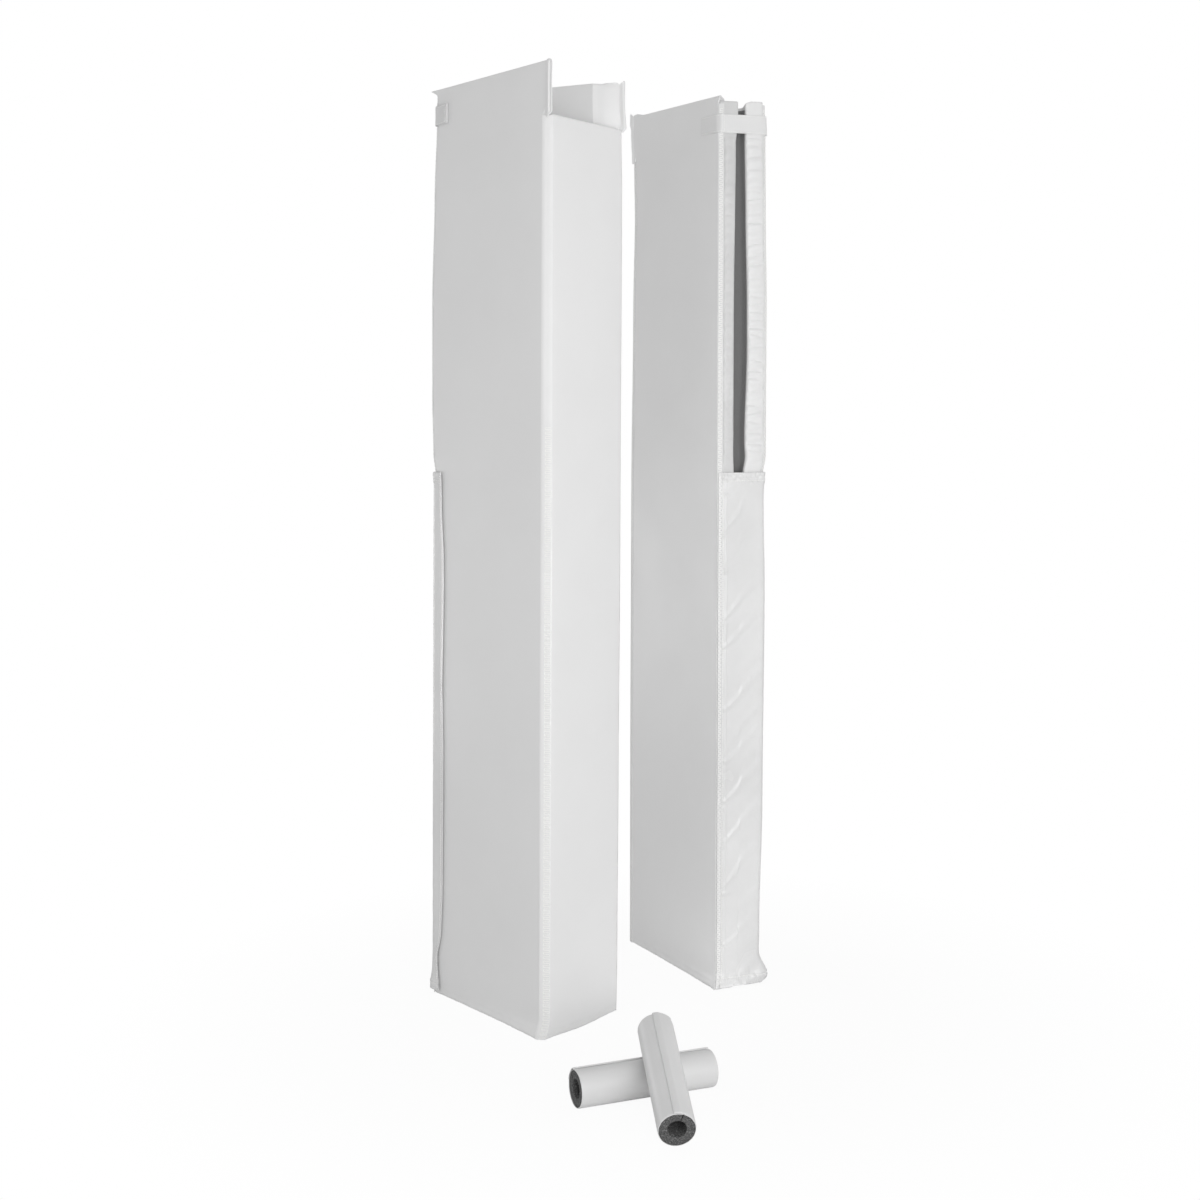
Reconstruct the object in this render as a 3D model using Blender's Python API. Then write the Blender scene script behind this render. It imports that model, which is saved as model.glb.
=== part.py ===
"""Volleyball post pad set: two tall wrap-round post pads and two net cable pads.

Each post pad is a box of five foam panels in sewn vinyl covers. The front, one side and one
back return are fixed to each other. The other side and its return swing on a sewn corner, so
that the pad opens round a post. A strap near the top and a long closing flap below hold it
shut with hook-and-loop tape. The cable pads are slit foam tubes in vinyl sleeves.

Metres, +Z up. The set stands on Z = 0 with the middle of its box at X = Y = 0. The left pad's
front faces -Y, and X runs along its width.
"""

import math

import bmesh
import bpy
from mathutils import Matrix, Vector

# Post pad, driving sizes
PAD_HEIGHT = 1.829
FRONT_WIDTH = 0.210
BACK_WIDTH = 0.110
SIDE_DEPTH = 0.356
PANEL_THICKNESS = 0.032
NOTCH_DEPTH = 0.103
RETURN_DROP = 0.014
SLOT_WIDTH = 0.021
VINYL = 0.001
HEM_LIP = 0.010
HEM_THICKNESS = 0.0015
HEM_ROUND = 0.0028
TOP_ROUND = 0.004
OUTER_ROUND = 0.003
SEAM_ROUND = 0.002
INNER_ROUND = 0.003
LEAST_ROUND = 0.0003
SLOT_ROUND = 0.006
EAR_FLARE = 0.005

# Padding that swells between its seams
PANEL_CROWN = 0.0025
RETURN_CROWN = 0.002
CROWN_FADE = 0.15
PANEL_CUTS = 4

# Clearances
SEAT_GAP = 0.0003
MITRE_GAP = 0.0006

# Binding strips sewn along the upright corners
FRONT_BINDING_WIDTH = 0.016
BACK_BINDING_WIDTH = 0.012
BINDING_EDGE = 0.0008
BINDING_RISE = 0.0012
BINDING_END_GAP = 0.003
BINDING_FOOT = 0.006
SLOT_STRIP_WIDTH = 0.024
SLOT_STRIP_THICKNESS = 0.0012
SLOT_STRIP_TOP_GAP = 0.018

# Hook-and-loop tapes
TAPE = 0.0012
TAPE_SEAT = 0.00045
TAPE_FROM_BINDING = 0.002

# Top strap
STRAP_WIDTH = 0.041
STRAP_FROM_TOP = 0.040
STRAP_THICKNESS = 0.002
STRAP_ANCHOR = 0.065
STRAP_TAB = 0.037
STRAP_ROOT = 0.012
BACK_LIFT = 0.0015
SIDE_LIFT = 0.0010
WRAP_ROUND = 0.009

# Closing flap
FLAP_TOP = 1.052
FLAP_FLOOR_GAP = 0.004
FLAP_THICKNESS = 0.0016
FLAP_TAB = 0.026
FLAP_ROOT = 0.010
FLAP_SEAM_START = 0.002
FLAP_SWELL = 0.0013
FLAP_FOLD = 0.0016
FLAP_HEM = 0.020
FLAP_HEM_EXTRA = 0.0008
FLAP_FOOT_FLARE = 0.004
FLAP_FOOT_HEIGHT = 0.060

# Cable pads
TUBE_LENGTH = 0.254
TUBE_DIAMETER = 0.0635
TUBE_BORE = 0.031
TUBE_SLIT = 0.0012
SLEEVE = 0.001
SLEEVE_FLAP = 0.001
SLEEVE_TAPE = 0.0008
SLEEVE_TAPE_WIDTH = 0.009
SLEEVE_TAPE_END = 0.006
SLEEVE_FLAP_SPAN = math.radians(63)
SLEEVE_OVERHANG = 0.001

# Where the pieces stand, from the left pad's front left corner
RIGHT_PAD_PLACE = Vector((0.754, 0.162, 0.0))
RIGHT_PAD_TURN = math.radians(150.7)
LOWER_TUBE_CENTRE = Vector((-0.086, -0.307, 0.0))
LOWER_TUBE_HEADING = math.radians(-27.2)
LOWER_FLAP_EDGE = math.radians(18)
UPPER_TUBE_FOOT = Vector((-0.209, -0.472, 0.0))
UPPER_TUBE_HEADING = math.radians(46.8)
UPPER_FLAP_EDGE = math.radians(13)

# Sizes that follow
TAPER = (FRONT_WIDTH - BACK_WIDTH) / 2
PAD_DEPTH = math.sqrt(SIDE_DEPTH**2 - TAPER**2)
FRONT_ANGLE = math.acos(TAPER / SIDE_DEPTH)
BACK_ANGLE = math.pi - FRONT_ANGLE
FRONT_BEVEL = FRONT_BINDING_WIDTH / (2 * math.sin(FRONT_ANGLE / 2))
BACK_BEVEL = BACK_BINDING_WIDTH / (2 * math.sin(BACK_ANGLE / 2))
FRONT_TOP = PAD_HEIGHT - NOTCH_DEPTH
RETURN_TOP = PAD_HEIGHT - RETURN_DROP
RETURN_LENGTH = (BACK_WIDTH - SLOT_WIDTH) / 2
PEEL_RISE = 0.0004
TAB_LIFT = TAPE_SEAT + 2 * TAPE + 2 * SEAT_GAP
STRAP_TOP = PAD_HEIGHT - STRAP_FROM_TOP
STRAP_BOTTOM = STRAP_TOP - STRAP_WIDTH
TUBE_RADIUS = TUBE_DIAMETER / 2
FLAT_SQUARE = Matrix.Identity(4)
SHARP_ANGLE = math.radians(35)

# Corners of the pad's plan, anticlockwise from the front left
FRONT_LEFT = Vector((0, 0, 0))
FRONT_RIGHT = Vector((FRONT_WIDTH, 0, 0))
BACK_RIGHT = Vector((FRONT_WIDTH - TAPER, PAD_DEPTH, 0))
BACK_LEFT = Vector((TAPER, PAD_DEPTH, 0))

WHITE_VINYL = ((0.80, 0.80, 0.80), 0.38)
GREY_FOAM = ((0.10, 0.10, 0.10), 0.95)
WHITE_TAPE = ((0.72, 0.72, 0.72), 0.90)
GREY_TAPE = ((0.19, 0.19, 0.19), 0.90)


def clear_scene():
    """Remove what is in the scene."""
    for obj in list(bpy.data.objects):
        bpy.data.objects.remove(obj, do_unlink=True)


def make_material(name, look):
    """Return a plain material with a colour and a roughness."""
    colour, roughness = look
    material = bpy.data.materials.new(name)
    material.use_nodes = True
    shader = material.node_tree.nodes["Principled BSDF"]
    shader.inputs["Base Color"].default_value = (*colour, 1.0)
    shader.inputs["Roughness"].default_value = roughness
    shader.inputs["Metallic"].default_value = 0.0
    return material


def make_frame(name, place, parent=None):
    """Return an empty at place, which is given in its parent's frame."""
    frame = bpy.data.objects.new(name, None)
    bpy.context.scene.collection.objects.link(frame)
    frame.parent = parent
    frame.matrix_basis = place
    return frame


class Body:
    """A moving body's empty, on its joint axis, and where that is in the pad's own frame."""

    def __init__(self, name, owner, place):
        self.frame = make_frame(name, place, owner)
        self.place = place


class Shell(Body):
    """A pad's fixed body, whose frame is the pad's own."""

    def __init__(self, name, owner, place):
        super().__init__(name, owner, place)
        self.place = FLAT_SQUARE


def make_object(name, bm, body, place, look):
    """Turn a bmesh into an object on a body, at place in the pad's own frame."""
    bmesh.ops.recalc_face_normals(bm, faces=bm.faces)
    if bm.calc_volume(signed=True) < 0:
        bmesh.ops.reverse_faces(bm, faces=bm.faces)
    mesh = bpy.data.meshes.new(name)
    bm.to_mesh(mesh)
    bm.free()
    mesh.shade_smooth()
    mesh.set_sharp_from_angle(angle=SHARP_ANGLE)
    obj = bpy.data.objects.new(name, mesh)
    obj.data.materials.append(make_material(name, look))
    bpy.context.scene.collection.objects.link(obj)
    obj.parent = body.frame
    obj.matrix_basis = body.place.inverted() @ place
    return obj


def add_loft(bm, loops, place=FLAT_SQUARE):
    """Skin closed loops of equal length one after the other and cap both ends."""
    rings = [[bm.verts.new(place @ point) for point in loop] for loop in loops]
    count = len(rings[0])
    for lower, upper in zip(rings, rings[1:]):
        for i in range(count):
            j = (i + 1) % count
            bm.faces.new((lower[i], lower[j], upper[j], upper[i]))
    bm.faces.new(rings[0][::-1])
    bm.faces.new(rings[-1])


def add_sheet(bm, under, over):
    """Fill the space between two grids of points, which are lists of rows of equal length."""
    low = [[bm.verts.new(point) for point in row] for row in under]
    high = [[bm.verts.new(point) for point in row] for row in over]
    rows, columns = len(low), len(low[0])
    for r in range(rows - 1):
        for c in range(columns - 1):
            bm.faces.new((low[r][c], low[r + 1][c], low[r + 1][c + 1], low[r][c + 1]))
            bm.faces.new((high[r][c], high[r][c + 1], high[r + 1][c + 1], high[r + 1][c]))
    for c in range(columns - 1):
        bm.faces.new((low[0][c], low[0][c + 1], high[0][c + 1], high[0][c]))
        bm.faces.new((low[-1][c + 1], low[-1][c], high[-1][c], high[-1][c + 1]))
    for r in range(rows - 1):
        bm.faces.new((low[r + 1][0], low[r][0], high[r][0], high[r + 1][0]))
        bm.faces.new((low[r][-1], low[r + 1][-1], high[r + 1][-1], high[r][-1]))


def at_height(points, height):
    """Return plan points lifted to a height."""
    return [Vector((point.x, point.y, height)) for point in points]


def smooth(share):
    """Ease a share from 0 to 1."""
    share = min(max(share, 0.0), 1.0)
    return share * share * (3 - 2 * share)


def corner_arc(before, corner, after, radius, steps):
    """Return the points of a round corner of a given radius between two straight sides."""
    back = (before - corner).normalized()
    onward = (after - corner).normalized()
    half = back.angle(onward) / 2
    centre = corner + (back + onward).normalized() * radius / math.sin(half)
    first = (corner + back * radius / math.tan(half) - centre).normalized()
    last = (corner + onward * radius / math.tan(half) - centre).normalized()
    return [centre + first.slerp(last, k / steps) * radius for k in range(steps + 1)]


def mitred_end(angle, bevel):
    """Return a mitred end's outer, middle and inner corners and their radii, from the plan corner."""
    half = angle / 2
    reach = bevel * math.cos(half)
    outer = Vector((bevel, 0, 0))
    middle = Vector((reach * math.cos(half), reach * math.sin(half), 0))
    middle += (outer - middle).normalized() * MITRE_GAP / 2
    inner_x = PANEL_THICKNESS / math.tan(half) + MITRE_GAP / 2 / math.sin(half)
    inner = Vector((inner_x, PANEL_THICKNESS, 0))
    return [(outer, OUTER_ROUND), (middle, SEAM_ROUND), (inner, INNER_ROUND)]


def square_end():
    """Return the two corners of a panel's square end and their radii."""
    return [
        (Vector((0, 0, 0)), SLOT_ROUND),
        (Vector((0, PANEL_THICKNESS, 0)), SLOT_ROUND),
    ]


def moved_in(corners, distance):
    """Return a convex plan's corners moved in from its sides, with smaller radii."""
    result = []
    for i, (corner, radius) in enumerate(corners):
        back = (corner - corners[i - 1][0]).normalized()
        onward = (corners[(i + 1) % len(corners)][0] - corner).normalized()
        inward = Vector((-back.y - onward.y, back.x + onward.x, 0)).normalized()
        lean = inward.dot(Vector((-back.y, back.x, 0)))
        result.append((corner + inward * distance / lean, max(radius - distance, LEAST_ROUND)))
    return result


class Plan:
    """A panel's plan: outer face on y = 0, inside at +y, start at x = 0."""

    def __init__(self, length, start, end):
        self.length = length
        self.starts = (start[0][0].x, start[-1][0].x)
        self.ends = (length - end[0][0].x, length - end[-1][0].x)
        mirrored = [(Vector((length - corner.x, corner.y, 0)), radius) for corner, radius in end]
        self.corners = mirrored + start[::-1]
        sides = self.rounded(0.0)
        self.cuts = []
        for here, there in zip(sides, sides[1:] + sides[:1]):
            self.cuts.append(max(1, math.ceil((there - here).length * PANEL_CUTS / length)))

    def rounded(self, inset):
        """Return the plan's points, with round corners, moved in from all sides."""
        corners = moved_in(self.corners, inset)
        points = []
        for i, (corner, radius) in enumerate(corners):
            before = corners[i - 1][0]
            after = corners[(i + 1) % len(corners)][0]
            points += corner_arc(before, corner, after, radius, 2)
        return points

    def loop(self, height, inset):
        """Return a closed loop of the plan at a height, moved in from all sides."""
        points = self.rounded(inset)
        result = []
        for here, there, cuts in zip(points, points[1:] + points[:1], self.cuts):
            result += [here.lerp(there, k / cuts) for k in range(cuts)]
        return at_height(result, height)

    def lip(self, height):
        """Return the loop of the hem's inner edge at a height."""
        wide = 1 - 2 * HEM_LIP / self.length
        deep = 1 - 2 * HEM_LIP / PANEL_THICKNESS
        x, y = self.length / 2, PANEL_THICKNESS / 2
        return [Vector((x + (p.x - x) * wide, y + (p.y - y) * deep, height)) for p in self.loop(0, 0)]

    def share(self, point):
        """Return how far along the panel a point is, from 0 to 1, and how deep in it."""
        deep = point.y / PANEL_THICKNESS
        start = self.starts[0] + (self.starts[1] - self.starts[0]) * deep
        end = self.ends[0] + (self.ends[1] - self.ends[0]) * deep
        return min(max((point.x - start) / (end - start), 0), 1), deep


def top_edge(top, skin):
    """Return the height and inset of each loop of a rounded top edge."""
    radius = TOP_ROUND - skin
    levels = []
    for turn in (0, 45, 90):
        angle = math.radians(turn)
        levels.append((top - TOP_ROUND + radius * math.sin(angle), skin + radius * (1 - math.cos(angle))))
    return levels


def edge_frame(start, end):
    """Return the frame of a panel that runs from one plan corner to the next."""
    along = end - start
    return Matrix.Translation(start) @ Matrix.Rotation(math.atan2(along.y, along.x), 4, "Z")


class Panel:
    """One padded panel: its plan, its frame in the pad, its height and its padding."""

    def __init__(self, name, place, plan, top, crown, ears=0.0):
        self.name = name
        self.place = place
        self.plan = plan
        self.top = top
        self.crown = crown
        self.ears = ears

    def swollen(self, point):
        """Return a point of the cover's skin moved out by its padding, and at its top ears."""
        along, deep = self.plan.share(point)
        upright = smooth(min(point.z, self.top - point.z) / CROWN_FADE)
        swell = math.sin(math.pi * along) ** 2 * upright
        y = point.y - self.crown * swell * (1 - deep)
        from_top = smooth(1 - (self.top - point.z) / RETURN_DROP)
        offset = 2 * point.x / self.plan.length - 1
        x = point.x + math.copysign(self.ears * from_top * smooth(abs(offset) * 8 - 7), offset)
        return Vector((x, y, point.z))

    def cover_loops(self):
        """Return a cover's loops: a bag with a turned hem round its open foot."""
        foot = [(0.0, HEM_ROUND), (HEM_ROUND * 0.3, HEM_ROUND * 0.3), (HEM_ROUND, 0.0)]
        low = [CROWN_FADE / 3, CROWN_FADE, self.top / 2]
        high = [self.top - drop for drop in (CROWN_FADE, CROWN_FADE / 3, RETURN_DROP)]
        outside = foot + [(height, 0.0) for height in low + high] + top_edge(self.top, 0.0)
        outer = [[self.swollen(p) for p in self.plan.loop(*level)] for level in outside]
        inside = [(HEM_THICKNESS, VINYL)] + top_edge(self.top, VINYL)
        inner = [self.plan.lip(0.0), self.plan.lip(HEM_THICKNESS)]
        inner += [self.plan.loop(*level) for level in inside]
        return inner[::-1] + outer

    def foam_loops(self):
        """Return the loops of the foam slab that fills the cover."""
        skin = VINYL + SEAT_GAP
        levels = [(HEM_THICKNESS + SEAT_GAP, skin)] + top_edge(self.top, skin)
        return [self.plan.loop(*level) for level in levels]

    def build(self, side, body):
        """Make the panel's foam and cover on a body's frame."""
        for name, loops, look in (
            ("foam", self.foam_loops(), GREY_FOAM),
            ("cover", self.cover_loops(), WHITE_VINYL),
        ):
            bm = bmesh.new()
            add_loft(bm, loops)
            make_object(f"{side}_{self.name}_{name}", bm, body, self.place, look)


def pad_panels():
    """Return the panels that stay with the front, and those that swing."""
    front_corner = mitred_end(FRONT_ANGLE, FRONT_BEVEL)
    back_corner = mitred_end(BACK_ANGLE, BACK_BEVEL)
    back_place = edge_frame(BACK_RIGHT, BACK_LEFT)
    slot_far_side = back_place @ Matrix.Translation((BACK_WIDTH - RETURN_LENGTH, 0, 0))
    right_place = edge_frame(FRONT_RIGHT, BACK_RIGHT)
    left_place = edge_frame(BACK_LEFT, FRONT_LEFT)
    front_place = edge_frame(FRONT_LEFT, FRONT_RIGHT)
    front = Plan(FRONT_WIDTH, front_corner, front_corner)
    fixed_side = Plan(SIDE_DEPTH, front_corner, back_corner)
    swing_side = Plan(SIDE_DEPTH, back_corner, front_corner)
    fixed_return = Plan(RETURN_LENGTH, back_corner, square_end())
    swing_return = Plan(RETURN_LENGTH, square_end(), back_corner)
    fixed = [
        Panel("front", front_place, front, FRONT_TOP, PANEL_CROWN),
        Panel("fixed_side", right_place, fixed_side, PAD_HEIGHT, PANEL_CROWN, EAR_FLARE),
        Panel("fixed_return", back_place, fixed_return, RETURN_TOP, RETURN_CROWN),
    ]
    swing = [
        Panel("swing_side", left_place, swing_side, PAD_HEIGHT, PANEL_CROWN, EAR_FLARE),
        Panel("swing_return", slot_far_side, swing_return, RETURN_TOP, RETURN_CROWN),
    ]
    return fixed, swing


def build_binding(side, name, corner, inward, width, bevel, angle, top, body):
    """Make the strip sewn over an upright corner, on the bevel between two panels."""
    reach = bevel * math.cos(angle / 2)
    turn = math.atan2(inward.y, inward.x) + math.pi / 2
    place = Matrix.Translation(corner + inward * reach) @ Matrix.Rotation(turn, 4, "Z")
    across = [(k / 3 - 1) * width / 2 for k in range(7)]
    under, over = [], []
    for height in (BINDING_FOOT, top - BINDING_END_GAP):
        rises = [BINDING_EDGE + BINDING_RISE * (1 - (2 * x / width) ** 2) for x in across]
        under.append([Vector((x, SEAT_GAP, height)) for x in across])
        over.append([Vector((x, SEAT_GAP + r, height)) for x, r in zip(across, rises)])
    bm = bmesh.new()
    add_sheet(bm, under, over)
    make_object(f"{side}_{name}_binding", bm, body, place, WHITE_VINYL)


def build_slot_strip(side, body):
    """Make the grey strip sewn on the end of the swing return, inside the slot."""
    place = edge_frame(BACK_RIGHT, BACK_LEFT) @ Matrix.Translation((BACK_WIDTH - RETURN_LENGTH, 0, 0))
    near = (PANEL_THICKNESS - SLOT_STRIP_WIDTH) / 2
    depths = [near, PANEL_THICKNESS / 2, PANEL_THICKNESS - near]
    heights = (BINDING_FOOT, RETURN_TOP - SLOT_STRIP_TOP_GAP)
    out = -SEAT_GAP - SLOT_STRIP_THICKNESS
    bm = bmesh.new()
    add_sheet(
        bm,
        [[Vector((-SEAT_GAP, depth, height)) for depth in depths] for height in heights],
        [[Vector((out, depth, height)) for depth in depths] for height in heights],
    )
    make_object(f"{side}_slot_strip", bm, body, place, GREY_TAPE)


def side_point(distance, lift):
    """Return a point on a side panel, seen from its back corner with the back face along +x."""
    along = Vector((math.cos(BACK_ANGLE), math.sin(BACK_ANGLE), 0))
    outward = Vector((-math.sin(BACK_ANGLE), math.cos(BACK_ANGLE), 0))
    return along * distance + outward * lift


def corner_vertex(side_lift, back_lift):
    """Return where two faces of a back corner meet once both are lifted off."""
    along = Vector((math.cos(BACK_ANGLE), math.sin(BACK_ANGLE), 0))
    return -(Vector((side_lift, 0, 0)) + along * back_lift) / math.sin(BACK_ANGLE)


def wrap_path(side_length, back_length, side_lift, back_lift, radius, mirrored):
    """Return a path round a back corner, from the side face to the back face."""
    ends = side_point(side_length, side_lift), Vector((back_length, -back_lift, 0))
    corner = corner_vertex(side_lift, back_lift)
    path = [ends[0]] + corner_arc(ends[0], corner, ends[1], radius, 4) + [ends[1]]
    if mirrored:
        path = [Vector((BACK_WIDTH - p.x, p.y, 0)) for p in path]
    return path


def back_frame():
    """Return the frame of the back face: its start at the fixed corner, +x along it."""
    return edge_frame(BACK_RIGHT, BACK_LEFT)


def build_strap_anchor(side, body):
    """Make the strap's sewn end, on the fixed side and round its back corner."""
    reach = STRAP_ROOT - SEAT_GAP / 2
    inner = wrap_path(STRAP_ANCHOR, reach, SIDE_LIFT, BACK_LIFT, WRAP_ROUND, False)
    outer = wrap_path(STRAP_ANCHOR, reach, SIDE_LIFT + STRAP_THICKNESS,
                      BACK_LIFT + STRAP_THICKNESS, WRAP_ROUND + STRAP_THICKNESS, False)
    bm = bmesh.new()
    heights = (STRAP_BOTTOM, STRAP_TOP)
    add_sheet(bm, [at_height(inner, h) for h in heights], [at_height(outer, h) for h in heights])
    make_object(f"{side}_strap_anchor", bm, body, back_frame(), WHITE_VINYL)


def build_strap(side, body):
    """Make the free strap: across the back, round the swing corner and along its side."""
    reach = BACK_WIDTH - STRAP_ROOT - SEAT_GAP / 2
    inner = wrap_path(STRAP_TAB, reach, TAB_LIFT, BACK_LIFT, WRAP_ROUND, True)
    outer = wrap_path(STRAP_TAB, reach, TAB_LIFT + STRAP_THICKNESS,
                      BACK_LIFT + STRAP_THICKNESS, WRAP_ROUND + STRAP_THICKNESS, True)
    bm = bmesh.new()
    heights = (STRAP_BOTTOM, STRAP_TOP)
    add_sheet(bm, [at_height(inner, h) for h in heights], [at_height(outer, h) for h in heights])
    make_object(f"{side}_strap", bm, body, back_frame(), WHITE_VINYL)


def build_tape(side, name, reach, lift, heights, body, look):
    """Make a straight tape on the swing side, from the corner binding to reach."""
    first = BACK_BEVEL + TAPE_FROM_BINDING
    under, over = [], []
    for height in heights:
        for grid, rise in ((under, lift), (over, lift + TAPE)):
            row = [side_point(first, rise), side_point(reach, rise)]
            grid.append([Vector((BACK_WIDTH - p.x, p.y, height)) for p in row])
    bm = bmesh.new()
    add_sheet(bm, under, over)
    make_object(f"{side}_{name}", bm, body, back_frame(), look)


def flap_heights():
    """Return the heights of the closing flap's rows, closer at its hems."""
    low, high = FLAP_FLOOR_GAP, FLAP_TOP
    rows = 18
    heights = [low, low + FLAP_HEM, low + FLAP_HEM + 0.0006, low + FLAP_FOOT_HEIGHT]
    start, end = low + FLAP_FOOT_HEIGHT, high - FLAP_HEM - 0.0006
    heights += [start + (end - start) * k / rows for k in range(1, rows + 1)]
    return heights + [high - FLAP_HEM, high]


def flap_fold(distance, height):
    """Return how far the flap stands out in its soft slanting folds."""
    span = BACK_WIDTH - FLAP_ROOT
    across = math.sin(math.pi * min(max(distance / span, 0), 1)) ** 2
    upright = smooth((height - FLAP_FLOOR_GAP) / 0.1) * smooth((FLAP_TOP - height) / 0.1)
    slant = math.sin(math.pi * (distance / 0.045 + height / 0.31)) ** 2
    ripple = math.sin(math.pi * (distance / 0.08 - height / 0.17)) ** 2
    return FLAP_FOLD * across * upright * (0.65 * slant + 0.35 * ripple)


def flap_row(height, extra):
    """Return one row of the flap's points at a height, lifted by extra off its inner face."""
    flare = FLAP_FOOT_FLARE * (1 - smooth((height - FLAP_FLOOR_GAP) / FLAP_FOOT_HEIGHT)) ** 2
    reach = BACK_WIDTH - FLAP_ROOT - SEAT_GAP / 2
    hemmed = height <= FLAP_FLOOR_GAP + FLAP_HEM or height >= FLAP_TOP - FLAP_HEM
    thick = extra + (FLAP_HEM_EXTRA if hemmed and extra else 0.0)
    path = wrap_path(FLAP_TAB, reach, TAB_LIFT + thick + flare, BACK_LIFT + FLAP_SWELL + thick,
                     WRAP_ROUND + thick, True)
    row = at_height(path[:-1], height)
    for k in range(1, 10):
        point = path[-2].lerp(path[-1], k / 9)
        settle = FLAP_SWELL * (1 - smooth((point.x - FLAP_ROOT) / 0.012))
        fold = flap_fold(path[-2].x - point.x, height)
        row.append(Vector((point.x, point.y + settle - fold, height)))
    return row


def build_flap(side, body, shell):
    """Make the closing flap and the seam strip that carries it on the fixed corner."""
    bm = bmesh.new()
    heights = flap_heights()
    add_sheet(bm, [flap_row(h, 0.0) for h in heights], [flap_row(h, FLAP_THICKNESS) for h in heights])
    make_object(f"{side}_closing_flap", bm, body, back_frame(), WHITE_VINYL)
    seam = bmesh.new()
    ends = (FLAP_SEAM_START, FLAP_ROOT - SEAT_GAP / 2)
    limits = (FLAP_FLOOR_GAP, FLAP_TOP)
    lifts = (-BACK_LIFT, -BACK_LIFT - FLAP_THICKNESS)
    add_sheet(seam, *[[[Vector((x, y, z)) for x in ends] for z in limits] for y in lifts])
    make_object(f"{side}_flap_seam", seam, shell, back_frame(), WHITE_VINYL)


def joint_body(name, place, point, shell):
    """Return a body whose upright axis passes through a point given in place's frame."""
    return Body(name, shell.frame, Matrix.Translation(place @ point))


def build_post_pad(side, place, root):
    """Make one post pad with its shell, swing side, strap and flap."""
    shell = Shell(f"{side}_shell_frame", root, place)
    hinge_point = Vector((SIDE_DEPTH - FRONT_BEVEL, 0, 0))
    swing = joint_body(f"{side}_swing_axis", edge_frame(BACK_LEFT, FRONT_LEFT), hinge_point, shell)
    strap_root = Vector((STRAP_ROOT, -BACK_LIFT - STRAP_THICKNESS - PEEL_RISE, 0))
    strap = joint_body(f"{side}_strap_axis", back_frame(), strap_root, shell)
    flap_root = Vector((FLAP_ROOT, -BACK_LIFT - FLAP_THICKNESS - FLAP_HEM_EXTRA - PEEL_RISE, 0))
    flap = joint_body(f"{side}_flap_axis", back_frame(), flap_root, shell)

    fixed_panels, swing_panels = pad_panels()
    for panels, body in ((fixed_panels, shell), (swing_panels, swing)):
        for panel in panels:
            panel.build(side, body)

    half_front, half_back = FRONT_ANGLE / 2, BACK_ANGLE / 2
    front_sizes = (FRONT_BINDING_WIDTH, FRONT_BEVEL, FRONT_ANGLE, FRONT_TOP)
    back_sizes = (BACK_BINDING_WIDTH, BACK_BEVEL, BACK_ANGLE, RETURN_TOP)
    bindings = [
        ("hinge", FRONT_LEFT, half_front, front_sizes, shell),
        ("front_corner", FRONT_RIGHT, math.pi - half_front, front_sizes, shell),
        ("fixed_back", BACK_RIGHT, math.pi + half_back, back_sizes, shell),
        ("swing_back", BACK_LEFT, -half_back, back_sizes, swing),
    ]
    for name, corner, heading, (width, bevel, angle, top), body in bindings:
        inward = Vector((math.cos(heading), math.sin(heading), 0))
        build_binding(side, name, corner, inward, width, bevel, angle, top, body)
    build_slot_strip(side, swing)

    build_strap_anchor(side, shell)
    build_strap(side, strap)
    strap_limits = (STRAP_BOTTOM + 0.003, STRAP_TOP - 0.003)
    strap_reach = STRAP_TAB - 0.003
    hook_lift = TAPE_SEAT + TAPE + SEAT_GAP
    build_tape(side, "strap_loop_patch", strap_reach, TAPE_SEAT, strap_limits, swing, WHITE_TAPE)
    build_tape(side, "strap_hook_patch", strap_reach, hook_lift, strap_limits, strap, WHITE_TAPE)
    build_flap(side, flap, shell)
    flap_limits = (FLAP_FLOOR_GAP + FLAP_FOOT_HEIGHT, FLAP_TOP - 0.004)
    flap_reach = FLAP_TAB - 0.003
    build_tape(side, "flap_loop_tape", flap_reach, TAPE_SEAT, flap_limits, swing, WHITE_TAPE)
    build_tape(side, "flap_hook_tape", flap_reach, hook_lift, flap_limits, flap, WHITE_TAPE)


def polar(radius, angle, height):
    """Return a point of a tube: angle 0 is up, and the tube runs along +z."""
    return Vector((radius * math.sin(angle), radius * math.cos(angle), height))


def arc_grid(radii, angles, limits):
    """Return rows of points on a part of a tube, one radius for each angle."""
    return [[polar(r, a, h) for r, a in zip(radii, angles)] for h in limits]


def build_ring(name, inner, outer, slit_at, steps, limits, body, look):
    """Make a tube wall that is slit from end to end."""
    half_slit = TUBE_SLIT / 2 / inner
    first, last = slit_at + half_slit, slit_at + 2 * math.pi - half_slit
    angles = [first + (last - first) * k / steps for k in range(steps + 1)]
    bm = bmesh.new()
    under = arc_grid([inner] * len(angles), angles, limits)
    over = arc_grid([outer] * len(angles), angles, limits)
    add_sheet(bm, under, over)
    make_object(name, bm, body, FLAT_SQUARE, look)


def build_arc_strip(name, radii, thickness, angles, limits, body, place, look):
    """Make a strip that lies round a tube, with its own inner radius at each angle."""
    bm = bmesh.new()
    under = arc_grid(radii, angles, limits)
    over = arc_grid([r + thickness for r in radii], angles, limits)
    add_sheet(bm, under, over)
    make_object(name, bm, body, place, look)


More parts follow.
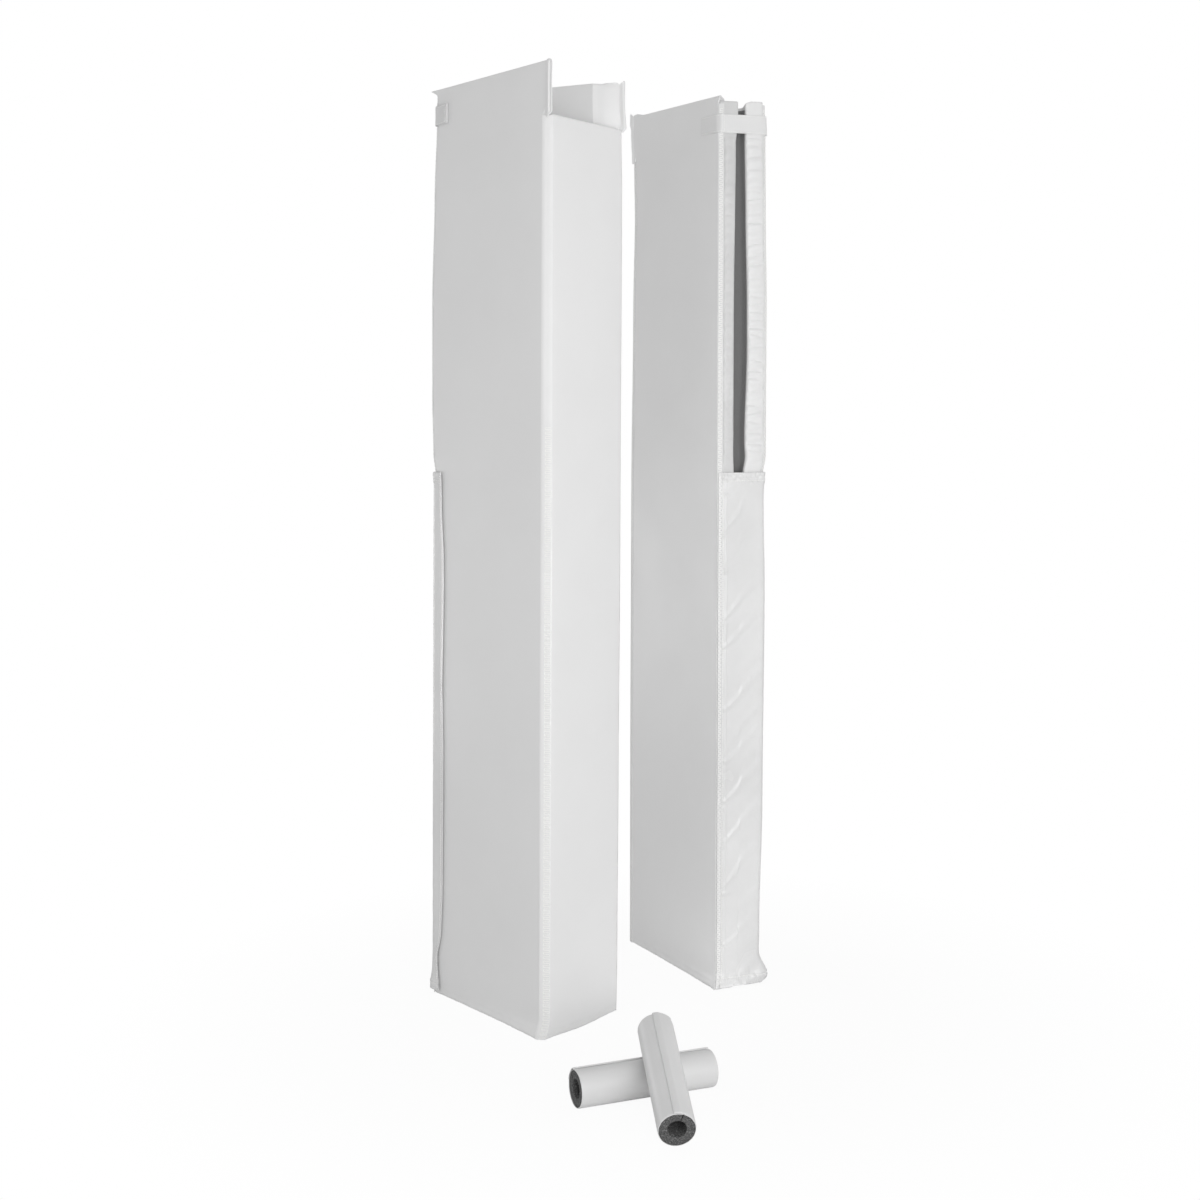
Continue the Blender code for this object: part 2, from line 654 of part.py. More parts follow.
def build_cable_pad(side, place, edge, root_side, root):
    """Make one cable pad. Its flap's free edge is at edge, its root on root_side of that."""
    tube = Shell(f"{side}_cable_pad_frame", root, place)
    span = root_side * SLEEVE_FLAP_SPAN
    skin = TUBE_RADIUS - SLEEVE
    ends = (0.0, TUBE_LENGTH)
    foam_ends = (SLEEVE_OVERHANG, TUBE_LENGTH - SLEEVE_OVERHANG)
    slit_at = edge + span / 2
    name = f"{side}_cable_pad"
    build_ring(f"{name}_foam", TUBE_BORE / 2, skin - SEAT_GAP, slit_at, 24, foam_ends, tube, GREY_FOAM)
    build_ring(f"{name}_sleeve", skin, TUBE_RADIUS, slit_at, 32, ends, tube, WHITE_VINYL)

    seat = TUBE_RADIUS + SEAT_GAP
    tab_lift = 2 * (SLEEVE_TAPE + SEAT_GAP)
    axis = polar(seat + SLEEVE_FLAP, edge + span, 0)
    hinge = Body(f"{name}_flap_axis", tube.frame, Matrix.Translation(axis))
    shares = [k / 9 for k in range(10)]
    angles = [edge + span * share for share in shares]
    radii = [seat + tab_lift * (1 - smooth((share - 0.35) / 0.55)) for share in shares]
    build_arc_strip(f"{name}_flap", radii, SLEEVE_FLAP, angles, ends, hinge, FLAT_SQUARE, WHITE_VINYL)

    wide = SLEEVE_TAPE_WIDTH / TUBE_RADIUS * root_side
    first = edge + root_side * math.radians(2)
    tape_angles = [first + wide * k / 3 for k in range(4)]
    tape_ends = (SLEEVE_TAPE_END, TUBE_LENGTH - SLEEVE_TAPE_END)
    hook = [seat + SLEEVE_TAPE + SEAT_GAP] * 4
    build_arc_strip(f"{name}_loop_tape", [seat] * 4, SLEEVE_TAPE, tape_angles, tape_ends,
                    tube, FLAT_SQUARE, WHITE_TAPE)
    build_arc_strip(f"{name}_hook_tape", hook, SLEEVE_TAPE, tape_angles, tape_ends,
                    hinge, FLAT_SQUARE, WHITE_TAPE)


def tube_frame(base, heading, tilt):
    """Return a tube's frame: its axis from base along a heading, raised by a tilt."""
    axis = Vector((math.cos(heading) * math.cos(tilt), math.sin(heading) * math.cos(tilt), math.sin(tilt)))
    across = Vector((-math.sin(heading), math.cos(heading), 0))
    above = axis.cross(across)
    turned = Matrix((across, above, axis)).transposed().to_4x4()
    return Matrix.Translation(base) @ turned


def lower_tube_place():
    """Return the frame of the cable pad that lies on the floor."""
    half = Vector((math.cos(LOWER_TUBE_HEADING), math.sin(LOWER_TUBE_HEADING), 0)) * TUBE_LENGTH / 2
    base = LOWER_TUBE_CENTRE - half + Vector((0, 0, TUBE_RADIUS))
    return tube_frame(base, LOWER_TUBE_HEADING, 0.0)


def upper_tube_place():
    """Return the frame of the cable pad that leans on the lower one, its foot on the floor."""
    heading = Vector((math.cos(UPPER_TUBE_HEADING), math.sin(UPPER_TUBE_HEADING), 0))
    lower_axis = Vector((math.cos(LOWER_TUBE_HEADING), math.sin(LOWER_TUBE_HEADING), 0))
    normal = Vector((-lower_axis.y, lower_axis.x, 0))
    apart = TUBE_DIAMETER + SEAT_GAP
    tilt = math.radians(17)
    for _ in range(30):
        base = UPPER_TUBE_FOOT - heading * TUBE_RADIUS * math.sin(tilt)
        base.z = TUBE_RADIUS * math.cos(tilt)
        level = (LOWER_TUBE_CENTRE - base).dot(normal) / heading.dot(normal)
        axis = heading * math.cos(tilt) + Vector((0, 0, math.sin(tilt)))
        shared = lower_axis.cross(axis)
        rise = TUBE_RADIUS + apart * shared.length / abs(shared.z) - base.z
        tilt = math.atan2(rise, level)
    return tube_frame(base, UPPER_TUBE_HEADING, tilt)


def centre_on_floor(root):
    """Shift the whole set so that the middle of its box is over the origin."""
    bpy.context.view_layer.update()
    points = [o.matrix_world @ v.co for o in bpy.data.objects if o.type == "MESH" for v in o.data.vertices]
    low = Vector([min(p[i] for p in points) for i in range(3)])
    high = Vector([max(p[i] for p in points) for i in range(3)])
    root.location = (-(low.x + high.x) / 2, -(low.y + high.y) / 2, -low.z)


def main():
    """Build the set."""
    clear_scene()
    root = make_frame("set_frame", FLAT_SQUARE)
    build_post_pad("left", Matrix.Identity(4), root)
    right_place = Matrix.Translation(RIGHT_PAD_PLACE) @ Matrix.Rotation(RIGHT_PAD_TURN, 4, "Z")
    build_post_pad("right", right_place, root)
    build_cable_pad("lower", lower_tube_place(), LOWER_FLAP_EDGE, 1, root)
    build_cable_pad("upper", upper_tube_place(), UPPER_FLAP_EDGE, -1, root)
    centre_on_floor(root)


main()
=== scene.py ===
"""Looks of a volleyball post pad set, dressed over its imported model.

Two tall post pads stand side by side, and two short cable pads lie crossed on the floor. A post
pad is five foam-filled vinyl panels with bound corners, a strap and a closing flap. A cable pad
is a slit foam tube in a vinyl sleeve. All sizes are in metres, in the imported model's frame.
"""

from __future__ import annotations

import logging
import math
from dataclasses import dataclass, field
from enum import Enum
from typing import Callable

import bpy
import numpy as np
from mathutils import Matrix, Vector

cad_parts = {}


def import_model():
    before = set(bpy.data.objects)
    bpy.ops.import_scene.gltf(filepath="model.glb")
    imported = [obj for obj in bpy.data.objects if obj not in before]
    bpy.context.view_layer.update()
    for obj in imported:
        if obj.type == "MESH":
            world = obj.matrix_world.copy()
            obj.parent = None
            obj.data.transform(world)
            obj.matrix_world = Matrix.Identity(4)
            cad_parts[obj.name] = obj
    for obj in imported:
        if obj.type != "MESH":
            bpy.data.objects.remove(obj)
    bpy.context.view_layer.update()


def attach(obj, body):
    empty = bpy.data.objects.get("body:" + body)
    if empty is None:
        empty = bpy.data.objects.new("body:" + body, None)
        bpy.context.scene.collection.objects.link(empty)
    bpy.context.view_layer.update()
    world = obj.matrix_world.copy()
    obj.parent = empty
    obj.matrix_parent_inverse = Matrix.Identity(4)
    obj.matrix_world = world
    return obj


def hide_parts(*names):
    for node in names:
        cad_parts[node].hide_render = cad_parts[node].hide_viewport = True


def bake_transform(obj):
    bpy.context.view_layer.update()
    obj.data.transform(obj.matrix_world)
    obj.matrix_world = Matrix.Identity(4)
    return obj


LOG = logging.getLogger("post_pads")
MM = 0.001
WHITE = (1, 1, 1, 1)

Array = np.ndarray
Socket = bpy.types.NodeSocket
Corner = tuple[float, float, float]
Knots = tuple[tuple[float, float], ...]
Profile = Callable[[Array], Array]
Relief = Callable[[Array, Array], Array]

# Post pad, the same values as its solids
PAD_HEIGHT = 1.829
FRONT_WIDTH = 0.210
BACK_WIDTH = 0.110
SIDE_DEPTH = 0.356
THICKNESS = 0.032
FRONT_TOP = PAD_HEIGHT - 0.097
RETURN_TOP = PAD_HEIGHT - 0.014
SLOT_WIDTH = 0.021
RETURN_LENGTH = (BACK_WIDTH - SLOT_WIDTH) / 2
TAPER = (FRONT_WIDTH - BACK_WIDTH) / 2
PAD_DEPTH = math.sqrt(SIDE_DEPTH**2 - TAPER**2)
FRONT_ANGLE = math.acos(TAPER / SIDE_DEPTH)
BACK_ANGLE = math.pi - FRONT_ANGLE
MITRE_GAP = 0.0006
SEAT_GAP = 0.0003
BACK_BINDING = 0.012
BACK_BEVEL = BACK_BINDING / (2 * math.sin(BACK_ANGLE / 2))
BINDING_FOOT = 0.001
SINK_FROM = 1.69
PLAIN_HEIGHT = 0.5
CORNER_STEPS = 5

# How far each corner's bevel reaches along the two panels that it joins
HINGE_BEVELS = (20 * MM, 13 * MM)
CORNER_BEVELS = (3.5 * MM, 16 * MM)
FIXED_BEVELS = (2.5 * MM, 12.5 * MM)
SWING_BEVELS = (BACK_BEVEL, BACK_BEVEL)

# Tapes, strap and flap, with the tapes pressed thinner than their solids
TAPE = 0.0007
TAPE_SEAT = 0.00035
TAPE_GAP = 0.0002
TAB_LIFT = TAPE_SEAT + 2 * TAPE + 2 * TAPE_GAP
BACK_LIFT = 0.0015
SIDE_LIFT = 0.0006
WRAP_ROUND = 0.009
STRAP_TOP = PAD_HEIGHT - 0.040
STRAP_BOTTOM = STRAP_TOP - 0.041
STRAP_THICKNESS = 0.0016
STRAP_ANCHOR = 0.065
STRAP_TAB = 0.045
STRAP_ROOT = 0.012
FLAP_TOP = 1.052
FLAP_FOOT = 0.004
FLAP_WIDTH = 0.140
FLAP_THICKNESS = 0.0012
FLAP_ROOT = 0.010
FLAP_SWELL = 0.0013
FLAP_HEM = 0.020
FLAP_GATHERS = (0.085, 0.195, 0.290, 0.375, 0.461, 0.563, 0.690, 0.745, 0.850, 0.924, 1.006)
TAPE_FOOT = 0.064
TAPE_INSET = 6 * MM
BLEND_SPAN = 0.009

# Cable pads, the same values as their solids
TUBE_LENGTH = 0.254
TUBE_RADIUS = 0.03175
BORE_RADIUS = 0.0155
SLEEVE = 0.001
SLEEVE_TAPE = 0.0003
FLAP_SPAN = math.radians(63)

# Plan corners of a pad, anticlockwise from the front left
FRONT_LEFT = Vector((0, 0, 0))
FRONT_RIGHT = Vector((FRONT_WIDTH, 0, 0))
BACK_RIGHT = Vector((FRONT_WIDTH - TAPER, PAD_DEPTH, 0))
BACK_LEFT = Vector((TAPER, PAD_DEPTH, 0))

# Where the pads stand
SET_ORIGIN = Vector((-0.25417, 0.07159, 0.0))
RIGHT_PLACE = Vector((0.754, 0.162, 0.0))
RIGHT_TURN = math.radians(150.7)

# How far each pad's swing corner is drawn toward the slot, by height
LEFT_DRAWN = (
    (0.0, 0.0), (0.1, 0.002), (0.4, 0.001), (0.9, 0.0), (1.045, 0.0), (1.09, -0.007),
    (1.2, -0.0108), (1.4, -0.0118), (1.6, -0.0063), (1.77, 0.0), (1.829, 0.0),
)
RIGHT_DRAWN = (
    (0.0, 0.002), (0.02, 0.004), (0.066, 0.015), (0.12, 0.014), (0.38, 0.008), (0.8, 0.005),
    (1.0, 0.008), (1.045, 0.006), (1.09, -0.001), (1.4, -0.0015), (1.6, 0.0015), (1.74, 0.003),
    (1.80, 0.005), (1.829, 0.0055),
)

# How far each pad's fixed front corner is drawn in, by height
LEFT_FRONT_DRAWN = (
    (0.0, -0.001), (0.1, -0.003), (0.45, -0.005), (0.9, -0.0075), (1.6, -0.009), (1.72, -0.006),
    (1.79, 0.0), (1.829, 0.0),
)
RIGHT_FRONT_DRAWN = (
    (0.0, -0.001), (0.5, -0.002), (1.0, -0.002), (1.4, 0.001), (1.6, 0.004), (1.72, 0.002),
    (1.8, -0.001), (1.829, 0.0),
)

# How far each return's free end is from where its solid has it, by height
FIXED_END = (
    (0.0, 0.0), (0.98, 0.0), (1.06, -0.0065), (1.37, -0.0065), (1.73, -0.0035), (1.79, 0.0),
    (1.829, 0.0),
)
SWING_END = (
    (0.0, 0.0), (0.98, 0.0), (1.06, -0.001), (1.12, -0.0038), (1.3, 0.0006), (1.54, -0.0007),
    (1.74, -0.002), (1.79, 0.0), (1.829, 0.0),
)


class Side(Enum):
    """Which of the two post pads."""

    LEFT = "left"
    RIGHT = "right"


class Slot(Enum):
    """The record's material slots."""

    VINYL = "white_vinyl"
    FOAM = "grey_foam"
    TAPE = "white_hook_and_loop"
    GREY = "grey_loop_strip"


# --- finishes -------------------------------------------------------------------------------


def hex_linear(code: str) -> tuple[float, float, float, float]:
    """Turn an sRGB hex colour, such as "e6e6e4", into linear red, green, blue and alpha."""
    parts = [int(code[i : i + 2], 16) / 255 for i in (0, 2, 4)]
    linear = [p / 12.92 if p <= 0.04045 else ((p + 0.055) / 1.055) ** 2.4 for p in parts]
    return (*linear, 1.0)


def feed(node: bpy.types.Node, inputs: dict) -> None:
    """Link or set a node's inputs.

    Args:
        node: The node.
        inputs: Output sockets or values, by the input's name or number.
    """
    for key, value in inputs.items():
        if isinstance(value, Socket):
            node.id_data.links.new(value, node.inputs[key])
        else:
            node.inputs[key].default_value = value


def add_node(
    tree: bpy.types.NodeTree,
    kind: str,
    inputs: dict | None = None,
    output: int | str = 0,
    **settings: object,
) -> Socket | None:
    """Add a shader node, set it up and link it.

    Args:
        tree: The node tree that gets the node.
        kind: The end of the node's type name.
        inputs: Output sockets or values, by the input's name or number.
        output: Which of its outputs is wanted.
        **settings: The node's own properties.

    Returns:
        The output, or None where the node has none.
    """
    node = tree.nodes.new(f"ShaderNode{kind}")
    for name, value in settings.items():
        setattr(node, name, value)
    feed(node, inputs or {})
    return node.outputs[output] if node.outputs else None


@dataclass(frozen=True)
class Finish:
    """What every finish of this set has in common."""

    name: str
    colour: str
    roughness: float

    def inputs(self, tree: bpy.types.NodeTree, spot: Socket) -> dict:
        """Add the finish's nodes, and return what goes into its shader.

        Args:
            tree: The material's node tree.
            spot: The piece's own coordinates.

        Returns:
            Output sockets or values, by the input's name.
        """
        raise NotImplementedError

    def build(self) -> bpy.types.Material:
        """Make the material.

        Returns:
            The material.
        """
        material = bpy.data.materials.new(self.name)
        material.use_nodes = True
        tree = material.node_tree
        spot = add_node(tree, "TexCoord", output="Object")
        colour = hex_linear(self.colour)
        plain = {"Base Color": colour, "Roughness": self.roughness, "Metallic": 0.0}
        feed(tree.nodes["Principled BSDF"], {**plain, **self.inputs(tree, spot)})
        return material


@dataclass(frozen=True)
class CoatedVinyl(Finish):
    """PVC-coated polyester, calendered with a fine pebble grain.

    To the eye it is a clean white with a broad soft sheen, which the grain and the weave under
    the coating break up a little. The real grain is about 0.5 mm wide, and it is drawn coarser so
    that it shows.
    """

    shade: str = "dedede"
    crease_mm: float = 22.0
    crease_depth_mm: float = 0.10
    ior: float = 1.52
    cloud_scale: float = 6.0
    gloss_spread: float = 0.03
    grain_mm: float = 1.4
    grain_depth_mm: float = 0.03

    def inputs(self, tree: bpy.types.NodeTree, spot: Socket) -> dict:
        """Add cloudy colour and gloss, grain and soft creases.

        Args:
            tree: The material's node tree.
            spot: The piece's own coordinates.

        Returns:
            Output sockets or values, by the input's name.
        """
        clouds = {"Vector": spot, "Scale": self.cloud_scale, "Detail": 3.0}
        cloud = add_node(tree, "TexNoise", clouds)
        share = add_node(tree, "MapRange", {0: cloud, 1: 0.35, 2: 0.70, 3: 0.0, 4: 1.0})
        colours = {0: share, 6: hex_linear(self.colour), 7: hex_linear(self.shade)}
        low, high = self.roughness - self.gloss_spread, self.roughness + self.gloss_spread
        scales = (1 / (self.crease_mm * MM), 1 / (self.grain_mm * MM))
        creases = {"Vector": spot, "Scale": scales[0], "Detail": 4.0, "Roughness": 0.55}
        crease = add_node(tree, "TexNoise", creases)
        grain = add_node(tree, "TexNoise", {"Vector": spot, "Scale": scales[1], "Detail": 2.0})
        relief = {"Height": crease, "Distance": self.crease_depth_mm * MM, "Strength": 1.0}
        broad = add_node(tree, "Bump", relief)
        relief = {"Height": grain, "Distance": self.grain_depth_mm * MM, "Strength": 1.0}
        return {
            "IOR": self.ior,
            "Base Color": add_node(tree, "Mix", colours, 2, data_type="RGBA"),
            "Roughness": add_node(tree, "MapRange", {0: cloud, 1: 0.3, 2: 0.7, 3: low, 4: high}),
            "Normal": add_node(tree, "Bump", {**relief, "Normal": broad}),
        }


@dataclass(frozen=True)
class ClosedCellFoam(Finish):
    """Recycled closed-cell polyethylene foam, cut with a knife.

    To the eye it is matt mid grey with lighter crumbs; its open cells are darker, from painted
    shade in their pits.
    """

    # pit: the dark grey painted at the bottom of each cell, painted shade in its hollow
    pit: str = "2f2f2f"
    crumb: str = "8c8c8c"
    cell_mm: float = 1.7
    cell_depth_mm: float = 0.5

    def inputs(self, tree: bpy.types.NodeTree, spot: Socket) -> dict:
        """Add the cells, in bump and with painted shade in their pits, and the crumbs.

        Args:
            tree: The material's node tree.
            spot: The piece's own coordinates.

        Returns:
            Output sockets or values, by the input's name.
        """
        cells = add_node(tree, "TexVoronoi", {"Vector": spot, "Scale": 1 / (self.cell_mm * MM)})
        crumbs = {"Vector": spot, "Scale": 1 / (1.3 * self.cell_mm * MM), "Detail": 3.0}
        speck = add_node(tree, "TexNoise", crumbs)
        # Painted shade: toward each cell's middle, where the bump is lowest, the colour turns to
        # the pit's dark grey
        dark = add_node(tree, "MapRange", {0: cells, 1: 0.15, 2: 0.55, 3: 1.0, 4: 0.0})
        light = add_node(tree, "MapRange", {0: speck, 1: 0.52, 2: 0.68, 3: 0.0, 4: 0.8})
        colours = {0: dark, 6: hex_linear(self.colour), 7: hex_linear(self.pit)}
        shaded_pits = add_node(tree, "Mix", colours, 2, data_type="RGBA")
        colours = {0: light, 6: shaded_pits, 7: hex_linear(self.crumb)}
        relief = {"Height": cells, "Distance": self.cell_depth_mm * MM, "Strength": 0.9}
        return {
            "Specular IOR Level": 0.25,
            "Base Color": add_node(tree, "Mix", colours, 2, data_type="RGBA"),
            "Normal": add_node(tree, "Bump", relief),
        }


@dataclass(frozen=True)
class FuzzyTape(Finish):
    """Woven nylon tape with a brushed or hooked face.

    To the eye it is flat and dull, with a soft pile that catches a little light at the rim.
    """

    pile: str = "ffffff"
    pile_mm: float = 1.2
    pile_depth_mm: float = 0.35

    def inputs(self, tree: bpy.types.NodeTree, spot: Socket) -> dict:
        """Add the pile, in colour and bump.

        Args:
            tree: The material's node tree.
            spot: The piece's own coordinates.

        Returns:
            Output sockets or values, by the input's name.
        """
        pile = {"Vector": spot, "Scale": 1 / (self.pile_mm * MM), "Detail": 4.0}
        fuzz = add_node(tree, "TexNoise", pile)
        share = add_node(tree, "MapRange", {0: fuzz, 1: 0.35, 2: 0.75, 3: 0.0, 4: 0.5})
        colours = {0: share, 6: hex_linear(self.colour), 7: hex_linear(self.pile)}
        relief = {"Height": fuzz, "Distance": self.pile_depth_mm * MM, "Strength": 0.8}
        return {
            "Sheen Weight": 0.15,
            "Specular IOR Level": 0.2,
            "Base Color": add_node(tree, "Mix", colours, 2, data_type="RGBA"),
            "Normal": add_node(tree, "Bump", relief),
        }


@dataclass(frozen=True)
class Thread(Finish):
    """Bonded polyester sewing thread, twisted from three strands.

    To the eye it is a little whiter and duller than the vinyl, with a fine twist.
    """

    twist_mm: float = 0.9
    twist_depth_mm: float = 0.12

    def inputs(self, tree: bpy.types.NodeTree, spot: Socket) -> dict:
        """Add the twist, as bump.

        Args:
            tree: The material's node tree.
            spot: The piece's own coordinates.

        Returns:
            Output sockets or values, by the input's name.
        """
        strands = {"Vector": spot, "Scale": 1 / (self.twist_mm * MM) / 6.0, "Distortion": 2.0}
        twist = add_node(tree, "TexWave", strands, "Fac", bands_direction="DIAGONAL")
        relief = {"Height": twist, "Distance": self.twist_depth_mm * MM, "Strength": 0.7}
        return {"Normal": add_node(tree, "Bump", relief)}


# Name, colour, roughness, shade, width and depth of creases in mm
PANEL_VINYL = CoatedVinyl("calendered_vinyl", "e7e7e7", 0.42, "e5e5e5", 22.0, 0.04)
STRIP_VINYL = CoatedVinyl("binding_vinyl", "e1e1e1", 0.36, "dbdbdb", 22.0, 0.05)
# Painted light: a lighter copy of the binding vinyl, for the hinge strip that catches the light and
# for the seam flanges, whose shaded band it lifts
LIT_HINGE_VINYL = CoatedVinyl("hinge_vinyl_lit", "eeeeee", 0.36, "ebebeb", 22.0, 0.05)
# Painted light and shade: the two strap vinyls are a darker and a lighter copy of one vinyl. The
# left pad's strap is painted darker for the shade on its tilted tab, and the right pad's lighter
# for the light on it
STRAP_VINYL = CoatedVinyl("strap_vinyl", "dcdcdc", 0.34, "d4d4d4", 12.0, 0.12)
LIT_STRAP_VINYL = CoatedVinyl("strap_vinyl_lit", "e6e6e6", 0.34, "dfdfdf", 12.0, 0.12)
FLAP_VINYL = CoatedVinyl("limp_flap_vinyl", "e5e5e5", 0.25, "dcdcdc", 22.0, 0.50)
# Painted shade: the fixed return's vinyl is a darker copy of the panel vinyl, for the shade on that
# face; its mottling and creases are its own
SHADED_RETURN_VINYL = CoatedVinyl("creased_return_vinyl_shaded", "d8d8d8", 0.44, "c9c9c9", 12.0, 0.25)
SLEEVE_VINYL = CoatedVinyl("sleeve_vinyl", "dbdbdb", 0.42, "d5d5d5", 13.0, 0.36)
TUBE_FOAM = ClosedCellFoam("closed_cell_foam", "5c5c5c", 0.92)
# The grey is the loop strip's own colour; where the strip's curled edge fills the slot it is
# painted shade
GREY_LOOP = FuzzyTape("grey_loop_tape", "717171", 0.95, pile="818181")
WHITE_LOOP = FuzzyTape("white_hook_and_loop_tape", "dcdcdc", 0.9, pile="f2f2f2")
WHITE_THREAD = Thread("polyester_thread", "f5f5f3", 0.50)


# --- forms ----------------------------------------------------------------------------------


def smooth(share: Array | float) -> Array:
    """Ease a share from 0 to 1, and hold it there outside."""
    share = np.clip(share, 0.0, 1.0)
    return share * share * (3 - 2 * share)


def bell(off: Array | float, width: float) -> Array:
    """Return a soft bump of height 1, by the distance from its middle."""
    return np.exp(-((off / width) ** 2))


def eased(at: Array | float, knots: Knots) -> Array:
    """Return values eased from one knot to the next.

    Args:
        at: Where they are asked for.
        knots: Each knot's place and value, in order.

    Returns:
        The values, level at each knot.
    """
    places, values = np.array(knots).T
    at = np.clip(np.asarray(at, float), places[0], places[-1])
    first = np.clip(np.searchsorted(places, at, side="right") - 1, 0, len(places) - 2)
    share = smooth((at - places[first]) / (places[first + 1] - places[first]))
    return values[first] + (values[first + 1] - values[first]) * share


def value_noise(u: Array | float, v: Array | float, seed: int, cells: int = 128) -> Array:
    """Return soft random heights over two coordinates, one cell to a unit.

    Args:
        u: The first coordinate.
        v: The second coordinate.
        seed: Which noise it is.
        cells: After how many units it repeats.

    Returns:
        Values from -1 to 1.
    """
    u, v = np.broadcast_arrays(np.asarray(u, float), np.asarray(v, float))
    lattice = np.random.default_rng(seed).uniform(-1, 1, (cells, cells))
    column, row = np.floor(u).astype(int), np.floor(v).astype(int)
    across, upward = smooth(u - column), smooth(v - row)
    left, right = column % cells, (column + 1) % cells
    low, high = (
        lattice[left, r % cells] * (1 - across) + lattice[right, r % cells] * across
        for r in (row, row + 1)
    )
    return low * (1 - upward) + high * upward


def ruffle(u: Array | float, v: Array | float, seed: int, octaves: int = 3) -> Array:
    """Return value noise under layers that are each half as large and half as deep."""
    total = sum(value_noise(u * 2**k, v * 2**k, seed + k) / 2**k for k in range(octaves))
    return total / (2 - 2 ** (1 - octaves))


def unit(vectors: Array) -> Array:
    """Return vectors at length 1."""
    return vectors / np.maximum(np.linalg.norm(vectors, axis=-1, keepdims=True), 1e-12)


def crossed(rows: Array, columns: Array) -> list[Array]:
    """Return two grids that give each point's row value and column value."""
    return np.meshgrid(rows, columns, indexing="ij")


def xyz(x: Array, y: Array | float, z: Array) -> Array:
    """Return a grid of points from grids of their coordinates."""
    return np.stack(np.broadcast_arrays(x, y, z), axis=-1)


def run_along(path: Array) -> Array:
    """Return the distance of each of a path's points from its first."""
    return np.concatenate([[0], np.cumsum(np.linalg.norm(np.diff(path, axis=0), axis=1))])


def corner_arc(before: Array, corner: Array, after: Array, radius: float, steps: int) -> Array:
    """Return the points of a round corner between two straight sides of a plan.

    Args:
        before: The plan point before the corner.
        corner: The sharp corner.
        after: The plan point after it.
        radius: The round's radius.
        steps: How many pieces the arc has.

    Returns:
        The arc's points, steps + 1 rows of x and y.
    """
    back, onward = unit(before - corner), unit(after - corner)
    half = math.acos(float(np.clip(back @ onward, -1, 1))) / 2
    centre = corner + unit(back + onward) * radius / math.sin(half)
    first, last = (corner + way * radius / math.tan(half) - centre for way in (back, onward))
    start = math.atan2(first[1], first[0])
    turn = (math.atan2(last[1], last[0]) - start + math.pi) % (2 * math.pi) - math.pi
    angles = start + turn * np.arange(steps + 1) / steps
    return centre + radius * np.stack([np.cos(angles), np.sin(angles)], axis=1)


def rounded_outline(corners: list[Corner], cuts: list[int]) -> Array:
    """Return a convex plan's outline with round corners and evenly cut sides.

    Args:
        corners: Each corner's x, y and radius, anticlockwise.
        cuts: How many pieces the side after each corner has.

    Returns:
        The outline's points, rows of x and y.
    """
    points = np.array(corners)[:, :2]
    places = zip(np.roll(points, 1, axis=0), points, np.roll(points, -1, axis=0), corners)
    arcs = [corner_arc(*spots, corner[2], CORNER_STEPS) for *spots, corner in places]
    outline = []
    for arc, following, cut in zip(arcs, arcs[1:] + arcs[:1], cuts):
        shares = np.arange(1, cut)[:, None] / cut
        outline += [arc, arc[-1] + (following[0] - arc[-1]) * shares]
    return np.concatenate(outline)


def edge_frame(start: Vector, end: Vector) -> Matrix:
    """Return the frame of a face that runs from one plan corner to the next, inside at +y."""
    along = end - start
    return Matrix.Translation(start) @ Matrix.Rotation(math.atan2(along.y, along.x), 4, "Z")


BACK_FRAME = edge_frame(BACK_RIGHT, BACK_LEFT)
SLOT_FRAME = BACK_FRAME @ Matrix.Translation((BACK_WIDTH - RETURN_LENGTH, 0, 0))


def grid_normals(grid: Array) -> Array:
    """Return a grid's unit normals, to where its columns turn to its rows by the right hand."""
    return unit(np.cross(np.gradient(grid, axis=1), np.gradient(grid, axis=0)))


def grid_faces(numbers: Array) -> list[tuple[int, ...]]:
    """Return the four-sided faces of a grid of point numbers."""
    corners = [numbers[:-1, :-1], numbers[:-1, 1:], numbers[1:, 1:], numbers[1:, :-1]]
    return [tuple(face) for face in np.stack(corners, axis=-1).reshape(-1, 4).tolist()]


def sample(grid: Array, rows: Array, columns: Array) -> Array:
    """Return a grid's values between its own points.

    Args:
        grid: Rows by columns, and by anything further.
        rows: Row positions, which needn't be whole.
        columns: Column positions, which needn't be whole.

    Returns:
        The values there.
    """
    rows, columns = np.broadcast_arrays(np.asarray(rows, float), np.asarray(columns, float))
    rows, columns = np.clip(rows, 0, grid.shape[0] - 1), np.clip(columns, 0, grid.shape[1] - 1)
    row = np.minimum(np.floor(rows).astype(int), grid.shape[0] - 2)
    column = np.minimum(np.floor(columns).astype(int), grid.shape[1] - 2)
    more = (...,) + (None,) * (grid.ndim - 2)
    up, right = (rows - row)[more], (columns - column)[more]
    low, high = (
        grid[r, column] * (1 - right) + grid[r, column + 1] * right for r in (row, row + 1)
    )
    return low * (1 - up) + high * up


def add_object(name: str, data: bpy.types.ID) -> bpy.types.Object:
    """Add an object to the scene.

    Args:
        name: Its name.
        data: Its mesh, lamp or camera.

    Returns:
        The object.
    """
    obj = bpy.data.objects.new(name, data)
    bpy.context.scene.collection.objects.link(obj)
    return obj


